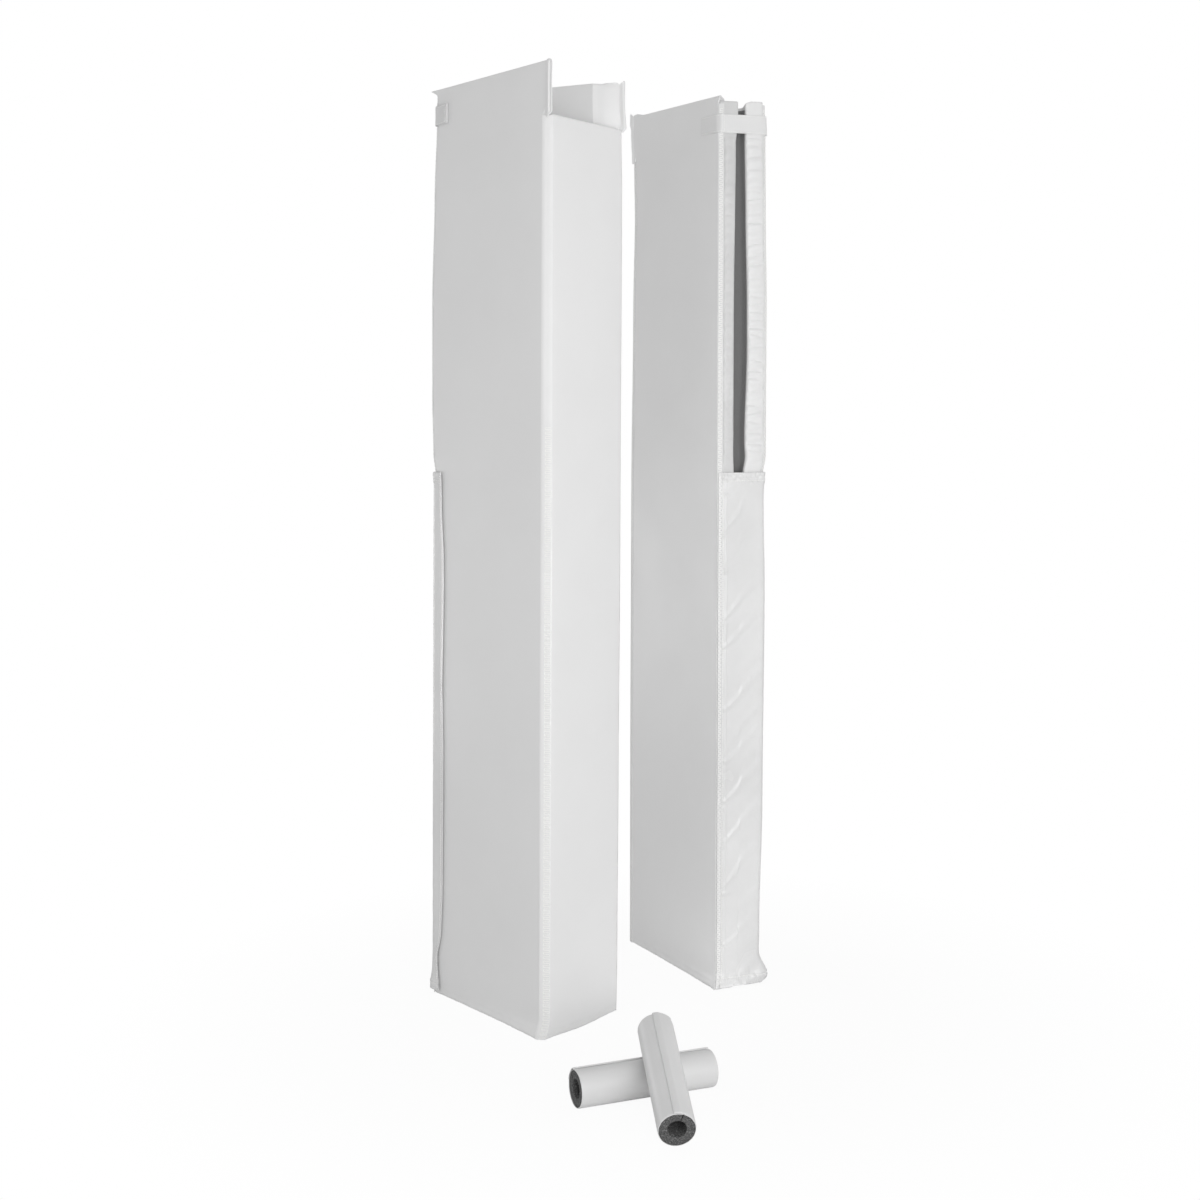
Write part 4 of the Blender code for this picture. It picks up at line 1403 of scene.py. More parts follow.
@dataclass
class TopStrap:
    """The strap that holds the slot shut near the top, with its sewn end and its patches."""

    rise: float = 0.0
    # The default is the darker strap vinyl: painted shade
    finish: Finish = STRAP_VINYL
    row_count: int = 21
    hem: float = 1.1 * MM
    curl: float = 2.5 * MM
    slot_at: float = 43 * MM

    def skin(self, path: Array, seed: int) -> tuple[Array, Array]:
        """Return the strap's two faces along a plan path.

        Args:
            path: Its inner line in plan.
            seed: Which ripples it has.

        Returns:
            The outer and the inner face as grids.
        """
        run = run_along(path)
        heights = np.linspace(STRAP_BOTTOM, STRAP_TOP, self.row_count) + self.rise
        z, s = crossed(heights, run)
        edge = np.abs((z - heights.mean()) / (heights[-1] - heights[0]) * 2)
        lift = STRAP_THICKNESS * (1 - 0.25 * smooth((edge - 0.8) / 0.2))
        lift = lift + 0.45 * MM * (ruffle(s / 0.03, z / 0.03, seed) + 0.4)
        lift = lift + self.hem * smooth((s - run[-1] + 10 * MM) / (2 * MM))
        lift = lift + 3.0 * MM * smooth((s - 0.11) / 0.035) * (run[-1] > 0.12)
        lift = lift + self.curl * bell(z - heights[0], 3 * MM) * bell(s - self.slot_at, 22 * MM)
        x, y = (path[None] + path_normals(path)[None] * lift[..., None]).transpose(2, 0, 1)
        return xyz(x, y, z + 0.5 * MM * value_noise(s / 0.05, 0.0, seed + 3)), xyz(*path.T, z)

    @staticmethod
    def reach(height: Array) -> Array:
        """Return how far the patches reach from the swing corner, at each height."""
        return np.full_like(height, STRAP_TAB - TAPE_INSET)

    def build_part(self, stand: Stand, name: str, path: Array, seed: int, first: float) -> None:
        """Make the sewn end or the free strap, with its border of stitches.

        Args:
            stand: The pad.
            name: Which of the two it is.
            path: Its inner line in plan.
            seed: Which ripples it has.
            first: The column where its stitches start.
        """
        outer, inner = self.skin(path, seed)
        low, high, last = 1.4, self.row_count - 2.4, len(path) - 2.0
        border = np.array([[low, first], [low, last], [high, last], [high, first]])
        stitches = Form()
        Lockstitch(pitch=3.8 * MM, radius=0.45 * MM).sew(stitches, Cloth(outer), border)
        join = root_join("strap", STRAP_ROOT) if name == "strap" else None
        flat = (STRAP_TOP - STRAP_BOTTOM, float(run_along(path)[-1]))
        role, thread = Role("shell", (name,), Slot.VINYL, flat, join=join), Role("shell", join=join)
        stand.dress(Form().add_sheet(outer, inner), f"{name}_vinyl", BACK_FRAME, self.finish, role)
        stand.dress(stitches, f"{name}_stitches", BACK_FRAME, WHITE_THREAD, thread)

    def build(self, stand: Stand) -> None:
        """Make the strap on one of the pads.

        Args:
            stand: The pad.
        """
        free = wrap_path(STRAP_TAB, BACK_WIDTH - STRAP_ROOT, TAB_LIFT, (30, 8, 12))
        sewn = wrap_path(STRAP_ANCHOR, STRAP_ROOT - SEAT_GAP / 2, SIDE_LIFT, (3, 8, 18))
        sewn = np.column_stack([BACK_WIDTH - sewn[:, 0], sewn[:, 1]])[::-1]
        self.build_part(stand, "strap_anchor", sewn, 61, 1.0)
        self.build_part(stand, "strap", free, 67, 2.0)
        limits = (STRAP_BOTTOM + 3 * MM, STRAP_TOP - 3 * MM)
        for name, body, layer in (("loop", "swing", 0), ("hook", "strap", 1)):
            SideTape(f"strap_{name}_patch", body, layer, limits, self.reach).build(stand)


@dataclass
class ClosingFlap:
    """The long flap that closes the slot, with its root seam, its tapes and its stitches."""

    foot_flare: float = 3.0 * MM
    seed: int = 71
    edge_curl: float = 1.5 * MM
    sew_in: float = 3 * MM
    widest_tape: float = 0.022
    tab_line: Knots = (
        (0.004, 0.027), (0.026, 0.026), (0.063, 0.020), (0.083, 0.020), (0.098, 0.025),
        (0.12, 0.031), (0.20, 0.036), (0.388, 0.038), (0.50, 0.038), (0.635, 0.034),
        (0.74, 0.037), (0.826, 0.039), (0.90, 0.037), (0.968, 0.031), (1.052, 0.029),
    )

    def tab(self, height: Array) -> Array:
        """Return how far the flap's free edge is from the swing corner, at each height."""
        straight = np.interp(height, *np.array(self.tab_line).T)
        return straight + 0.7 * MM * ruffle(height / 0.05, 0.0, 91)

    def reach(self, height: Array) -> Array:
        """Return how far the tapes reach from the swing corner, at each height."""
        return np.minimum(self.tab(height) - TAPE_INSET, self.widest_tape)

    def wander(self, height: Array) -> Array:
        """Return how the puckers beside the root seam wander, from -1 to 1."""
        return ruffle(height / 0.06, 0.0, self.seed + 21)

    def lift(self, x: Array, height: Array, folds: Array) -> Array:
        """Return how far the flap stands off the path that it would take if it were tight.

        Args:
            x: Distance from its root, along the cloth.
            height: Height above the floor.
            folds: How far the simulated cloth stands out there.

        Returns:
            The distance outward.
        """
        wander = 2.2 * MM * self.wander(height)
        settled = FLAP_SWELL * smooth((x - 1 * MM - 0.5 * wander) / 0.006)
        for place, depth in ((4.5 * MM, 0.9 * MM), (9.5 * MM, 1.1 * MM)):
            settled = settled + depth * bell(x - place - wander, 1.6 * MM) * smooth(x / (3 * MM))
        loose = (folds + np.hypot(folds, 1.0 * MM)) / 2 - 0.5 * MM
        crinkle = 0.35 * MM * ruffle(x / 0.014, height / 0.018, self.seed, 2) * smooth(x / 0.01)
        over_foot, under_top = height - FLAP_FOOT - FLAP_HEM, height - FLAP_TOP + FLAP_HEM
        hem = np.maximum(1 - smooth(over_foot / (2 * MM)), smooth((under_top + 2 * MM) / (2 * MM)))
        gathers = 1.9 * MM * (ruffle(x / 0.0055, height / 0.007, self.seed + 12, 2) + 0.4)
        sewn = np.minimum(np.abs(over_foot + self.sew_in), np.abs(under_top - self.sew_in))
        gathers = gathers - 1.0 * MM * bell(sewn, 2.2 * MM)
        flare = self.foot_flare * bell(height - 0.021, 0.022) * smooth((x - 0.07) / 0.03)
        return settled + loose + crinkle + hem * (0.5 * MM + gathers) + flare

    def skin(self) -> Cloth:
        """Shape the flap's outer face, with its simulated folds.

        Returns:
            The outer face, with columns from its root to its free edge.
        """
        wide = BACK_WIDTH - FLAP_ROOT + 4 * MM
        slack = Slack(self.seed, ease=0.009, shear=13 * MM, spots=FLAP_GATHERS)
        folds = slack.wrinkles(wide, FLAP_FOOT, FLAP_TOP)
        low = np.arange(FLAP_FOOT, FLAP_FOOT + FLAP_HEM, 2 * MM)
        middle = np.arange(FLAP_FOOT + FLAP_HEM, FLAP_TOP - FLAP_HEM, 4 * MM)
        rows = []
        for height in np.concatenate([low, middle, np.linspace(FLAP_TOP - FLAP_HEM, FLAP_TOP, 11)]):
            tab = float(self.tab(np.array(height)))
            path = wrap_path(tab, BACK_WIDTH - FLAP_ROOT, TAB_LIFT, (60, 9, 12))
            run = run_along(path)
            held = 1 - 0.75 * smooth((run - 0.105) / 0.02)
            level = np.full_like(run, height)
            lift = self.lift(run, level, folds(run, level) * (run < wide)) * held + FLAP_THICKNESS
            lift = lift + self.edge_curl * smooth(1 - (run[-1] - run) / (6 * MM))
            raised = 6 * MM * (1 - smooth(height / 0.03)) * smooth((run - 0.085) / 0.02)
            plan = path + path_normals(path) * lift[:, None]
            rows.append(np.column_stack([plan, height + raised]))
        return Cloth(np.array(rows))

    def build(self, stand: Stand) -> None:
        """Make the flap, its seam, stitches and tapes on one of the pads.

        Args:
            stand: The pad.
        """
        cloth, stitches = self.skin(), Form()
        inner = cloth.outer - grid_normals(cloth.outer) * FLAP_THICKNESS
        form = Form().add_sheet(cloth.outer, inner)
        top, edge = cloth.outer.shape[0] - 3.0, cloth.outer.shape[1] - 1
        hems = (FLAP_FOOT + FLAP_HEM - self.sew_in, FLAP_TOP - FLAP_HEM + self.sew_in)
        low, high = (float(cloth.row_of(height)) for height in hems)
        seams = (
            ((2.0, 1.6), (top, 1.6)),
            ((low, 1.0), (low, edge - 1.0)),
            ((high, 1.0), (high, edge - 1.0)),
            ((2.0, edge - 3.0), (top, edge - 3.0)),
        )
        for seam in seams:
            Lockstitch(radius=0.7 * MM).sew(stitches, cloth, np.array(seam))
        join = root_join("flap", FLAP_ROOT)
        flat = (FLAP_WIDTH, FLAP_TOP - FLAP_FOOT)
        role = Role("shell", ("closing_flap",), Slot.VINYL, flat, join=join)
        stand.dress(form, "closing_flap_vinyl", BACK_FRAME, FLAP_VINYL, role)
        stand.dress(stitches, "flap_stitches", BACK_FRAME, WHITE_THREAD, Role("shell", join=join))
        self.build_seam(stand)
        limits = (TAPE_FOOT, FLAP_TOP - TAPE_INSET)
        for name, body, layer in (("loop", "swing", 0), ("hook", "flap", 1)):
            SideTape(f"flap_{name}_tape", body, layer, limits, self.reach).build(stand)

    def build_seam(self, stand: Stand) -> None:
        """Make the sewn strip that carries the flap along the fixed corner.

        Args:
            stand: The pad.
        """
        x = np.linspace(2 * MM, FLAP_ROOT - SEAT_GAP / 2, 9)
        z, across = crossed(np.linspace(FLAP_FOOT, FLAP_TOP, 300), x)
        share = (across - x[0]) / (x[-1] - x[0])
        bulge = 1.1 * MM * np.sin(math.pi * np.clip(share + 0.25 * self.wander(z), 0, 1)) ** 2
        y = -BACK_LIFT - FLAP_THICKNESS - bulge
        outer = xyz(across, y - 0.35 * MM * ruffle(across / 0.01, z / 0.014, 97, 2), z)
        stitches, limits = Form(), (FLAP_FOOT + 6 * MM, FLAP_TOP - 4 * MM)
        sewing = Zigzag(width=4.5 * MM, radius=0.6 * MM)
        sewing.sew(stitches, Cloth(outer), x - x.mean(), *limits)
        form = Form().add_sheet(outer, xyz(across, -BACK_LIFT, z))
        role = Role("shell", ("flap_seam",), Slot.VINYL, (FLAP_ROOT, FLAP_TOP - FLAP_FOOT))
        stand.dress(form, "flap_seam_vinyl", BACK_FRAME, FLAP_VINYL, role)
        stand.dress(stitches, "flap_seam_stitches", BACK_FRAME, WHITE_THREAD, Role("shell"))


@dataclass
class SlotStrip:
    """The grey loop strip on the swing return's end; its edge curled across the slot is painted
    shade.
    """

    # The edge's line in mm: it curls forward across the slot so that the grey sheet fills it,
    # painted shade for the dark inside the slot; the part on the return's end is the tape's own
    # grey
    line_mm: Knots = (
        (-0.6, 5.0), (-1.8, 8.5), (-3.4, 12.0), (-5.5, 14.8), (-8.5, 16.6), (-13.0, 17.6),
        (-20.0, 18.0),
    )
    thickness: float = 1.2 * MM
    top_gap: float = 0.015

    def build(self, stand: Stand) -> None:
        """Make the strip on one of the pads.

        Args:
            stand: The pad.
        """
        heights = np.linspace(BINDING_FOOT, RETURN_TOP - self.top_gap, 240)
        knots = np.array(self.line_mm) * MM
        run = run_along(knots)
        spots = np.linspace(0, run[-1], 17)
        line = np.column_stack([np.interp(spots, run, knots[:, k]) for k in (0, 1)])
        line[1:-1] = (line[:-2] + line[1:-1] + line[2:]) / 3
        normals = -path_normals(line)
        z, column = crossed(heights, np.arange(len(line)))
        far = smooth((-line[column, 0] - 6 * MM) / (12 * MM))
        shift = eased(z, SWING_END) * (1 - far) + eased(z, FIXED_END) * far
        grids = []
        for depth in (self.thickness, 0.0):
            lift = depth + 0.15 * MM * ruffle(column / 8, z / 0.02, 41, 2) * (depth > 0)
            x, y = (line[column, k] + normals[column, k] * lift for k in (0, 1))
            grids.append(xyz(x + shift, y, z)[:, ::-1])
        flat = (float(run[-1]), float(heights[-1] - heights[0]))
        role = Role("swing", ("slot_strip",), Slot.GREY, flat, "laid", ("swing_return_panel",))
        stand.dress(Form().add_sheet(*grids), "slot_strip_pile", SLOT_FRAME, GREY_LOOP, role)


# --- whole pads -----------------------------------------------------------------------------


def between_straps(height: Array) -> Array:
    """Return 1 where a return is free between the flap and the strap, and 0 beyond."""
    over_flap = smooth((height - FLAP_TOP - 2 * MM) / 0.04)
    return over_flap * smooth((STRAP_BOTTOM - 1 * MM - height) / 0.02)


def return_crown(height: Array) -> Array:
    """Return how much a return swells: least under the strap and the flap."""
    over_strap = smooth((height - STRAP_TOP) / 0.01)
    return 1.0 * MM + 2.8 * MM * between_straps(height) + 0.6 * MM * over_strap


def return_wrinkle(seed: int, depth: float, slump: float, slack: Slack) -> Relief:
    """Return the wrinkles of a return: simulated folds, with sharp creases across some of them.

    Args:
        seed: Which wrinkles they are.
        depth: How deep the creases are.
        slump: How much cloudy unevenness there is besides.
        slack: The spare cloth of its cover.

    Returns:
        A function of distance along the panel and height.
    """
    rng = np.random.default_rng(seed)
    places = 1.07 + np.cumsum(rng.uniform(0.012, 0.028, 40))
    places = places[places < STRAP_BOTTOM - 4 * MM]
    slopes = rng.uniform(-0.25, 0.30, len(places))
    depths = depth * rng.uniform(0.4, 1.2, len(places))
    folds = slack.wrinkles(RETURN_LENGTH, FLAP_TOP, STRAP_BOTTOM)

    def wrinkle(x: Array, height: Array) -> Array:
        """Return how far the cover stands out.

        Args:
            x: Distance along the panel.
            height: Height above the floor.

        Returns:
            The distance outward.
        """
        total = folds(x, height) + slump * ruffle(x / 0.006, height / 0.045, seed + 5)
        for place, slope, deep in zip(places, slopes, depths):
            off = height - place - slope * (x - 0.02)
            off = off - 1.5 * MM * value_noise(x / 0.015, place * 50, seed)
            total = total - deep * np.exp(-np.abs(off) / np.where(off > 0, 6.0 * MM, 1.3 * MM))
        return total * between_straps(height)

    return wrinkle


@dataclass
class PostPad:
    """One tall post pad: five padded panels, four bindings, slot strip, strap and flap."""

    stand: Stand
    flap: ClosingFlap
    strap: TopStrap
    swing_ear: float
    swing_drop: float = 0.0
    flange_from: float = 0.0

    def panels(self) -> list[PaddedPanel]:
        """Return the pad's five panels.

        Returns:
            The front, the two sides and the two back returns.
        """
        crisp = {"outer_round": 3.5 * MM, "middle_round": 1.8 * MM}
        fine = {
            "row_step": 1.8 * MM, "column_step": 3.5 * MM, "crown_at": return_crown,
            "top_round": 2.5 * MM,
        }
        front_end = {"tall": True, "rise": 6 * MM, "deeper": 7.5 * MM}
        fixed_front = PanelEnd(FRONT_ANGLE, *CORNER_BEVELS[::-1], **front_end)
        back_end = {"ear": self.swing_ear, "drop": self.swing_drop, **crisp}
        swing_back = PanelEnd(BACK_ANGLE, *SWING_BEVELS, **back_end)
        fixed_slack = Slack(37, 0.012, bend=6.0, step=3 * MM)
        swing_slack = Slack(43, 0.035, 1.0 * MM, pressure=0.5, bend=6.0, step=3 * MM)
        return [
            PaddedPanel(
                "front", edge_frame(FRONT_LEFT, FRONT_RIGHT), FRONT_WIDTH,
                PanelEnd(FRONT_ANGLE, *HINGE_BEVELS[::-1]), PanelEnd(FRONT_ANGLE, *CORNER_BEVELS),
                FRONT_TOP, "shell", 11, crown=1.8 * MM, foot_bulge=8.0 * MM,
            ),
            PaddedPanel(
                "fixed_side", edge_frame(FRONT_RIGHT, BACK_RIGHT), SIDE_DEPTH, fixed_front,
                PanelEnd(BACK_ANGLE, *FIXED_BEVELS, ear=7 * MM, **crisp), PAD_HEIGHT, "shell", 13,
            ),
            PaddedPanel(
                "swing_side", edge_frame(BACK_LEFT, FRONT_LEFT), SIDE_DEPTH, swing_back,
                PanelEnd(FRONT_ANGLE, *HINGE_BEVELS, tall=True), PAD_HEIGHT, "swing", 17,
            ),
            PaddedPanel(
                "fixed_return", BACK_FRAME, RETURN_LENGTH,
                PanelEnd(BACK_ANGLE, *FIXED_BEVELS[::-1], **crisp), PanelEnd(), RETURN_TOP + 3 * MM,
                "shell", 19, wrinkle=return_wrinkle(23, 0.5 * MM, 1.1 * MM, fixed_slack),
                lean=lambda height: -3.0 * MM * between_straps(height),
                # The fixed return wears the darker return vinyl: painted shade
                slot_ends=lambda height: eased(height, FIXED_END), finish=SHADED_RETURN_VINYL, **fine,
            ),
            PaddedPanel(
                "swing_return", SLOT_FRAME, RETURN_LENGTH,
                PanelEnd(), PanelEnd(BACK_ANGLE, *SWING_BEVELS, **crisp), RETURN_TOP + 4 * MM,
                "swing", 29, wrinkle=return_wrinkle(31, 3.2 * MM, 0.3 * MM, swing_slack),
                dog_ear=17 * MM, slot_ends=lambda height: eased(height, SWING_END), **fine,
            ),
        ]

    def bindings(self) -> list[Binding]:
        """Return the strips over the pad's four upright corners.

        Returns:
            The strips over the hinge, the fixed front and the two back corners.
        """
        front, back, narrow = FRONT_ANGLE / 2, BACK_ANGLE / 2, 6 * MM
        return [
            Binding(
                "hinge", FRONT_LEFT, front, FRONT_ANGLE, HINGE_BEVELS, FRONT_TOP, "shell", "swing",
                # The hinge strip wears the lighter hinge vinyl: painted light
                stitch_width=11 * MM, stitch_at=-4.0 * MM, stitch_top=1.15, finish=LIT_HINGE_VINYL,
            ),
            Binding(
                "front_corner", FRONT_RIGHT, math.pi - front, FRONT_ANGLE, CORNER_BEVELS,
                FRONT_TOP, "shell",
            ),
            Binding(
                "fixed_back", BACK_RIGHT, math.pi + back, BACK_ANGLE, FIXED_BEVELS, RETURN_TOP,
                "shell", stitch_width=narrow,
            ),
            Binding(
                "swing_back", BACK_LEFT, -back, BACK_ANGLE, SWING_BEVELS, RETURN_TOP,
                "swing", stitch_width=narrow,
            ),
        ]

    def flanges(self) -> list[SeamFlange]:
        """Return the seam edges that stand free above the low front.

        Returns:
            The edges of the swing side and of the fixed side.
        """
        swing, fixed = edge_frame(BACK_LEFT, FRONT_LEFT), edge_frame(FRONT_RIGHT, BACK_RIGHT)
        return [
            SeamFlange("swing_side", swing, SIDE_DEPTH, 1, "swing", 8.5 * MM, 141, ridge=3.2 * MM),
            SeamFlange(
                "fixed_side", fixed, 0.0, -1, "shell", 2.5 * MM, 147, rise=8 * MM,
                fade_below=self.flange_from,
            ),
        ]

    def build(self) -> None:
        """Make the whole pad."""
        LOG.info("post pad: %s", self.stand.side.value)
        sewn = [*self.panels(), *self.flanges(), *self.bindings()]
        for part in [*sewn, SlotStrip(), self.strap, self.flap]:
            part.build(self.stand)


@dataclass
class CablePad:
    """A short pad for a net cable: a slit foam tube, its sleeve, flap and tapes."""

    name: str
    base: Vector
    axis: Vector
    edge: float
    root_side: int
    seed: int
    lip: float = 1.1 * MM
    half_slit: float = 0.6 * MM
    tape_from: float = math.radians(3.0)
    tape_end: float = math.radians(18.2)
    tape_width: float = 0.0085
    tape_gap: float = 7 * MM

    def frame(self) -> Matrix:
        """Return the tube's frame.

        Returns:
            The frame, with x across the tube, y above it and z along its axis.
        """
        heading = math.atan2(self.axis.y, self.axis.x)
        across = Vector((-math.sin(heading), math.cos(heading), 0))
        turned = Matrix((across, self.axis.cross(across), self.axis)).transposed().to_4x4()
        return Matrix.Translation(self.base) @ turned

    def around(self, radius: float, count: int) -> Array:
        """Return the angles from one side of the slit under the flap round to the other.

        Args:
            radius: How far the angles' points are from the axis.
            count: How many angles there are.

        Returns:
            The angles, in order.
        """
        half = self.half_slit / radius
        first = self.edge + self.root_side * FLAP_SPAN / 2 + half
        return first + (2 * math.pi - 2 * half) * np.linspace(0, 1, count)

    def end_draw(self, along: Array) -> Array:
        """Return how far the sleeve's lip is drawn in at its two ends."""
        share = np.clip(1 - np.minimum(along, TUBE_LENGTH - along) / (3.5 * MM), 0, 1)
        return self.lip * (1 - np.sqrt(1 - share**2 * 0.999))

    def rows(self) -> Array:
        """Return the positions of the rings along the tube, closer at its lips.

        Returns:
            The positions, from end to end.
        """
        end = np.array([0.0, 0.3, 0.8, 1.5, 2.4, 3.5, 5.5]) * MM
        middle = np.linspace(10 * MM, TUBE_LENGTH - 10 * MM, 38)
        return np.concatenate([end, middle, TUBE_LENGTH - end[::-1]])

    def dress(self, form: Form, name: str, finish: Finish, role: Role) -> None:
        """Turn a form into a piece of this pad, with names that lack the pad's."""
        obj = form.piece(f"{self.name}_cable_pad_{name}", self.frame(), finish)
        role.declare(obj, f"{self.name}_", self.frame())

    @staticmethod
    def polar(radius: Array | float, angle: Array, along: Array) -> Array:
        """Return points of the tube, where angle 0 is up and the tube runs along +z."""
        return xyz(radius * np.sin(angle), radius * np.cos(angle), along)

    def sheet(self, radii: tuple[Array, Array], angle: Array, z: Array, way: int) -> Form:
        """Return a sheet from the outer to the inner radii, whose columns run one way or back."""
        return Form().add_sheet(*(self.polar(radius, angle, z)[:, ::way] for radius in radii))

    def build_foam(self) -> None:
        """Make the slit foam tube."""
        skin = TUBE_RADIUS - SLEEVE - SEAT_GAP
        first, last = 1.0 * MM, TUBE_LENGTH - 1.0 * MM
        outer = np.linspace(first + 3 * MM, last - 3 * MM, 30)
        faces = np.linspace(skin - 0.5 * MM, BORE_RADIUS + 0.8 * MM, 7)
        profile = [(skin, z) for z in outer] + [(skin - 0.1 * MM, last - 0.7 * MM)]
        profile += [(r, last) for r in faces] + [(BORE_RADIUS, last - 1.2 * MM)]
        profile += [(BORE_RADIUS, z) for z in outer[::-1]] + [(BORE_RADIUS, first + 1.2 * MM)]
        profile += [(r, first) for r in faces[::-1]] + [(skin - 0.1 * MM, first + 0.7 * MM)]
        radii, along = np.array(profile).T
        angle, radius = crossed(self.around(BORE_RADIUS, 73), radii)
        z = np.repeat(along[None], len(angle), axis=0)
        cells = ruffle(angle * radius / 0.004, z / 0.004 + radius / 0.004, self.seed, 2)
        at_face = (z < first + 0.1 * MM) | (z > last - 0.1 * MM)
        z = z + np.where(at_face, -0.25 * MM * (cells + 1) * np.sign(z - TUBE_LENGTH / 2), 0)
        radius = radius + np.where(radius < BORE_RADIUS + 0.1 * MM, 0.35 * MM * (cells + 1), 0)
        form = Form().add_loft(self.polar(radius, angle, z))
        role = Role("cable_pad", ("cable_pad_foam",), Slot.FOAM, fill=1.0)
        self.dress(form, "foam_tube", TUBE_FOAM, role)

    def build_sleeve(self) -> None:
        """Make the vinyl sleeve, whose lips turn in over the foam's ends."""
        z, angle = crossed(self.rows(), self.around(TUBE_RADIUS, 97))
        from_end = np.minimum(z, TUBE_LENGTH - z)
        dents = 0.30 * MM * (ruffle(angle / 0.6, z / 0.05, self.seed + 3) - 0.9)
        calm = smooth(from_end / 0.01)
        pucker = 0.25 * MM * (ruffle(angle / 0.12, z / 0.01, self.seed + 5, 2) - 1) * (1 - calm)
        outer = TUBE_RADIUS + dents * calm + pucker - self.end_draw(z)
        thick = SLEEVE * (0.45 + 0.55 * smooth(from_end / (4 * MM)))
        inner = np.minimum(outer - 0.45 * SLEEVE, TUBE_RADIUS - thick - self.end_draw(z))
        flat, under = (2 * math.pi * TUBE_RADIUS, TUBE_LENGTH), ("cable_pad_foam_tube",)
        role = Role("cable_pad", ("cable_pad_sleeve",), Slot.VINYL, flat, rests_on=under)
        self.dress(self.sheet((outer, inner), angle, z, -1), "sleeve_vinyl", SLEEVE_VINYL, role)

    def flap_radius(self, turn: Array) -> Array:
        """Return the flap's inner radius: over the tapes, straight off them, then on the sleeve.

        Args:
            turn: The angle from the flap's free edge.

        Returns:
            The radius at each angle.
        """
        seat = TUBE_RADIUS + SEAT_GAP
        tab = seat + 2 * (SLEEVE_TAPE + SEAT_GAP)
        touch = self.tape_end + math.acos(seat / tab)
        tangent = seat / np.cos(np.clip(touch - turn, 0, 0.6))
        return np.where(turn < self.tape_end, tab, np.where(turn < touch, tangent, seat))

    def build_flap(self) -> None:
        """Make the sleeve's flap."""
        rim, first = math.radians(2.6), np.radians([0.0, 0.3, 0.8, 1.4, 2.0])
        z, turn = crossed(self.rows(), np.concatenate([first, np.linspace(rim, FLAP_SPAN, 27)]))
        drift = 0.015 * ruffle(z / 0.06, 0.0, self.seed + 9) * (1 - smooth(turn / 0.4))
        lip = np.sqrt(smooth(turn / rim))
        seat = TUBE_RADIUS + 0.1 * MM
        inner = seat + (self.flap_radius(turn) - seat) * lip - 0.75 * self.end_draw(z)
        swell = 0.25 * MM * (ruffle(turn / 0.3, z / 0.03, self.seed + 13) + 0.7)
        outer = inner + SLEEVE * (0.3 + 0.7 * lip) + swell * lip
        angle = self.edge + self.root_side * (turn + drift)
        form = self.sheet((outer, inner), angle, z, -self.root_side)
        flat, under = (FLAP_SPAN * TUBE_RADIUS, TUBE_LENGTH), ("cable_pad_sleeve_vinyl",)
        role = Role("cable_pad_flap", ("cable_pad_flap",), Slot.VINYL, flat, rests_on=under)
        self.dress(form, "flap_vinyl", SLEEVE_VINYL, role)

    def build_tapes(self) -> None:
        """Make the loop tape on the sleeve and the hook tape under the flap's edge."""
        turns = self.tape_from + np.linspace(0, self.tape_width / TUBE_RADIUS, 6)
        z, turn = crossed(np.linspace(self.tape_gap, TUBE_LENGTH - self.tape_gap, 30), turns)
        angle, flat = self.edge + self.root_side * turn, (0.010, TUBE_LENGTH - 12 * MM)
        under = ("cable_pad_sleeve_vinyl",)
        lifts = (("loop", "cable_pad", 0.0), ("hook", "cable_pad_flap", SLEEVE_TAPE + SEAT_GAP))
        for kind, body, lift in lifts:
            inner = TUBE_RADIUS + SEAT_GAP + lift
            form = self.sheet((inner + SLEEVE_TAPE, inner), angle, z, -self.root_side)
            role = Role(body, (f"cable_pad_{kind}_tape",), Slot.TAPE, flat, "laid", under)
            self.dress(form, f"{kind}_tape_pile", WHITE_LOOP, role)

    def build(self) -> None:
        """Make the whole cable pad."""
        LOG.info("cable pad: %s", self.name)
        for part in (self.build_foam, self.build_sleeve, self.build_flap, self.build_tapes):
            part()


# --- studio ---------------------------------------------------------------------------------


@dataclass(frozen=True)
class Lamp:
    """A large soft lamp."""

    name: str
    watts: float
    place: tuple[float, float, float]
    size: tuple[float, float]
    aim: tuple[float, float, float]

    def build(self) -> None:
        """Hang the lamp."""
        light = bpy.data.lights.new(self.name, "AREA")
        light.shape, light.energy = "RECTANGLE", self.watts
        light.size, light.size_y = self.size
        obj = add_object(self.name, light)
        obj.location = self.place
        aim = Vector(self.aim) - Vector(self.place)
        obj.rotation_euler = aim.to_track_quat("-Z", "Y").to_euler()
        obj.visible_camera = False


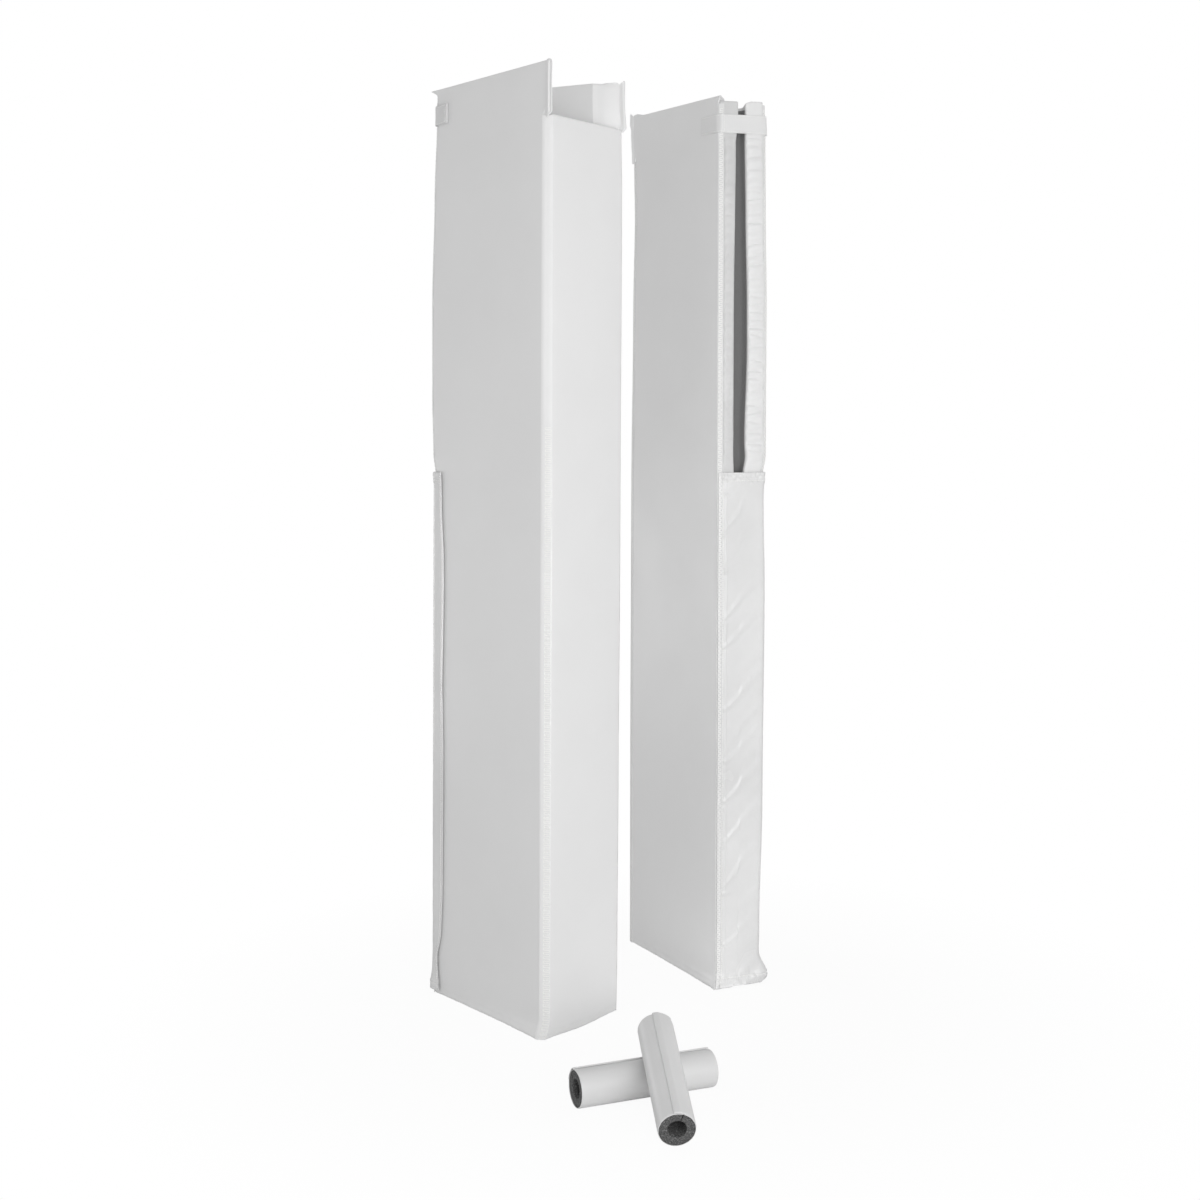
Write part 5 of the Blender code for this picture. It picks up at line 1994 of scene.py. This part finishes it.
@dataclass(frozen=True)
class Studio:
    """The pale floor, the soft light and the camera at the photograph's place."""

    sky: float = 0.535
    floor_size: float = 14.0
    lamps: tuple[Lamp, ...] = (
        Lamp("soft_key", 16.0, (-2.10, -3.00, 2.30), (1.8, 2.4), (0.0, 0.1, 0.95)),
        Lamp("low_key", 40.0, (-2.10, -3.00, 0.80), (1.8, 1.4), (0.0, 0.1, 0.60)),
        Lamp("back_fill", 12.5, (-0.60, 3.60, 0.45), (1.8, 0.9), (0.3, 0.15, 0.5)),
        Lamp("floor_fill", 2.5, (-0.10, -3.20, 0.35), (1.4, 0.5), (-0.15, 0.0, 0.15)),
        Lamp("right_fill", 4.5, (1.30, -3.30, 0.90), (1.4, 1.4), (0.0, 0.1, 0.80)),
        Lamp("hollow_card", 0.24, (-0.15, 0.24, 1.45), (0.08, 0.16), (-0.15, 0.24, 2.0)),
        Lamp("gap_card", 0.06, (0.07, 0.18, 0.003), (0.16, 0.30), (0.07, 0.18, 1.0)),
        Lamp("front_card", 0.08, (0.07, -0.11, 0.003), (0.34, 0.20), (0.07, -0.11, 1.0)),
    )
    camera_place: tuple[float, float, float] = (-2.64170, -2.08450, 1.17389)
    heading: float = 0.70406
    pitch: float = -0.003403
    roll: float = 0.004044
    lens_mm: float = 51.66
    shift_up: float = -0.15146

    @staticmethod
    def fresh_tree(owner: bpy.types.ID) -> bpy.types.NodeTree:
        """Return the empty node tree of a world or a material.

        Args:
            owner: The world or the material.

        Returns:
            Its node tree.
        """
        owner.use_nodes = True
        owner.node_tree.nodes.clear()
        return owner.node_tree

    def build_world(self) -> None:
        """Light the set evenly, and show white where nothing stands."""
        world = bpy.data.worlds.new("studio_white")
        bpy.context.scene.world = world
        tree = self.fresh_tree(world)
        path = add_node(tree, "LightPath").node.outputs
        seen = path["Is Camera Ray"]
        for name in ("Is Glossy Ray", "Is Transmission Ray"):
            seen = add_node(tree, "Math", {0: seen, 1: path[name]}, operation="MAXIMUM")
        light, shown = (
            add_node(tree, "Background", {"Color": WHITE, "Strength": strength})
            for strength in (self.sky, 1.0)
        )
        mix = add_node(tree, "MixShader", {0: seen, 1: light, 2: shown})
        add_node(tree, "OutputWorld", {"Surface": mix})

    def build_floor(self) -> None:
        """Make a pale floor that keeps the set's soft shadow and fades to white further out."""
        mesh, size = bpy.data.meshes.new("floor"), self.floor_size
        corners = [(-size, -size, 0), (size, -size, 0), (size, size, 0), (-size, size, 0)]
        mesh.from_pydata(corners, [], [(0, 1, 2, 3)])
        floor = add_object("floor", mesh)
        floor.location.z = -0.2 * MM
        material = bpy.data.materials.new("painted_studio_floor")
        tree = self.fresh_tree(material)
        spot = add_node(tree, "TexCoord", output="Object")
        away = add_node(tree, "VectorMath", {0: spot}, "Value", operation="LENGTH")
        seen = add_node(tree, "LightPath", output="Is Camera Ray")
        white = add_node(tree, "MapRange", {0: away, 1: 0.45, 2: 1.1, 3: 0.94, 4: 1.0})
        share = add_node(tree, "Math", {0: seen, 1: white}, operation="MULTIPLY")
        paint = add_node(tree, "BsdfDiffuse", {"Color": hex_linear("f4f4f4")})
        glow = add_node(tree, "Emission", {"Color": WHITE, "Strength": 1.0})
        mix = add_node(tree, "MixShader", {0: share, 1: paint, 2: glow})
        add_node(tree, "OutputMaterial", {"Surface": mix})
        mesh.materials.append(material)

    def build_camera(self) -> None:
        """Stand the camera where the photograph was taken from."""
        data = bpy.data.cameras.new("camera")
        data.sensor_width, data.lens, data.shift_y = 36.0, self.lens_mm, self.shift_up
        camera = add_object("camera", data)
        flat = Vector((math.cos(self.heading), math.sin(self.heading), 0)) * math.cos(self.pitch)
        ahead = flat + Vector((0, 0, math.sin(self.pitch)))
        right = Vector((math.sin(self.heading), -math.cos(self.heading), 0))
        above = right.cross(ahead)
        across = right * math.cos(self.roll) + above * math.sin(self.roll)
        upward = above * math.cos(self.roll) - right * math.sin(self.roll)
        turned = Matrix((across, upward, -ahead)).transposed().to_4x4()
        camera.matrix_world = Matrix.Translation(self.camera_place) @ turned
        bpy.context.scene.camera = camera

    def build(self) -> None:
        """Make the whole studio."""
        bpy.context.scene.view_settings.view_transform = "Standard"
        self.build_world()
        self.build_floor()
        for lamp in self.lamps:
            lamp.build()
        self.build_camera()


def main() -> None:
    """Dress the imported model."""
    logging.basicConfig(level=logging.INFO, format="%(message)s")
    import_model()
    Studio().build()
    left_place = Matrix.Translation(SET_ORIGIN)
    right_place = Matrix.Translation(SET_ORIGIN + RIGHT_PLACE) @ Matrix.Rotation(RIGHT_TURN, 4, "Z")
    left = Stand(Side.LEFT, left_place, LEFT_DRAWN, LEFT_FRONT_DRAWN, (-0.005, 0.014, 0.006, 0.005))
    right = Stand(Side.RIGHT, right_place, RIGHT_DRAWN, RIGHT_FRONT_DRAWN, (0.0, 0.0, 0.008, 0.005))
    PostPad(left, ClosingFlap(), TopStrap(5 * MM), swing_ear=32 * MM).build()
    # The right pad's strap wears the lighter strap vinyl: painted light
    lit_strap, flared_flap = TopStrap(finish=LIT_STRAP_VINYL), ClosingFlap(7.0 * MM, 83)
    PostPad(right, flared_flap, lit_strap, 1.0 * MM, swing_drop=16 * MM, flange_from=1.80).build()
    base, axis = Vector((-0.45312, -0.17736, 0.03175)), Vector((0.889416, -0.457098, 0))
    CablePad("lower", base, axis, math.radians(18), 1, 101).build()
    base, axis = Vector((-0.46961, -0.40727, 0.03032)), Vector((0.65377, 0.696195, 0.296475))
    CablePad("upper", base, axis, math.radians(13), -1, 131).build()


if __name__ == "__main__":
    main()
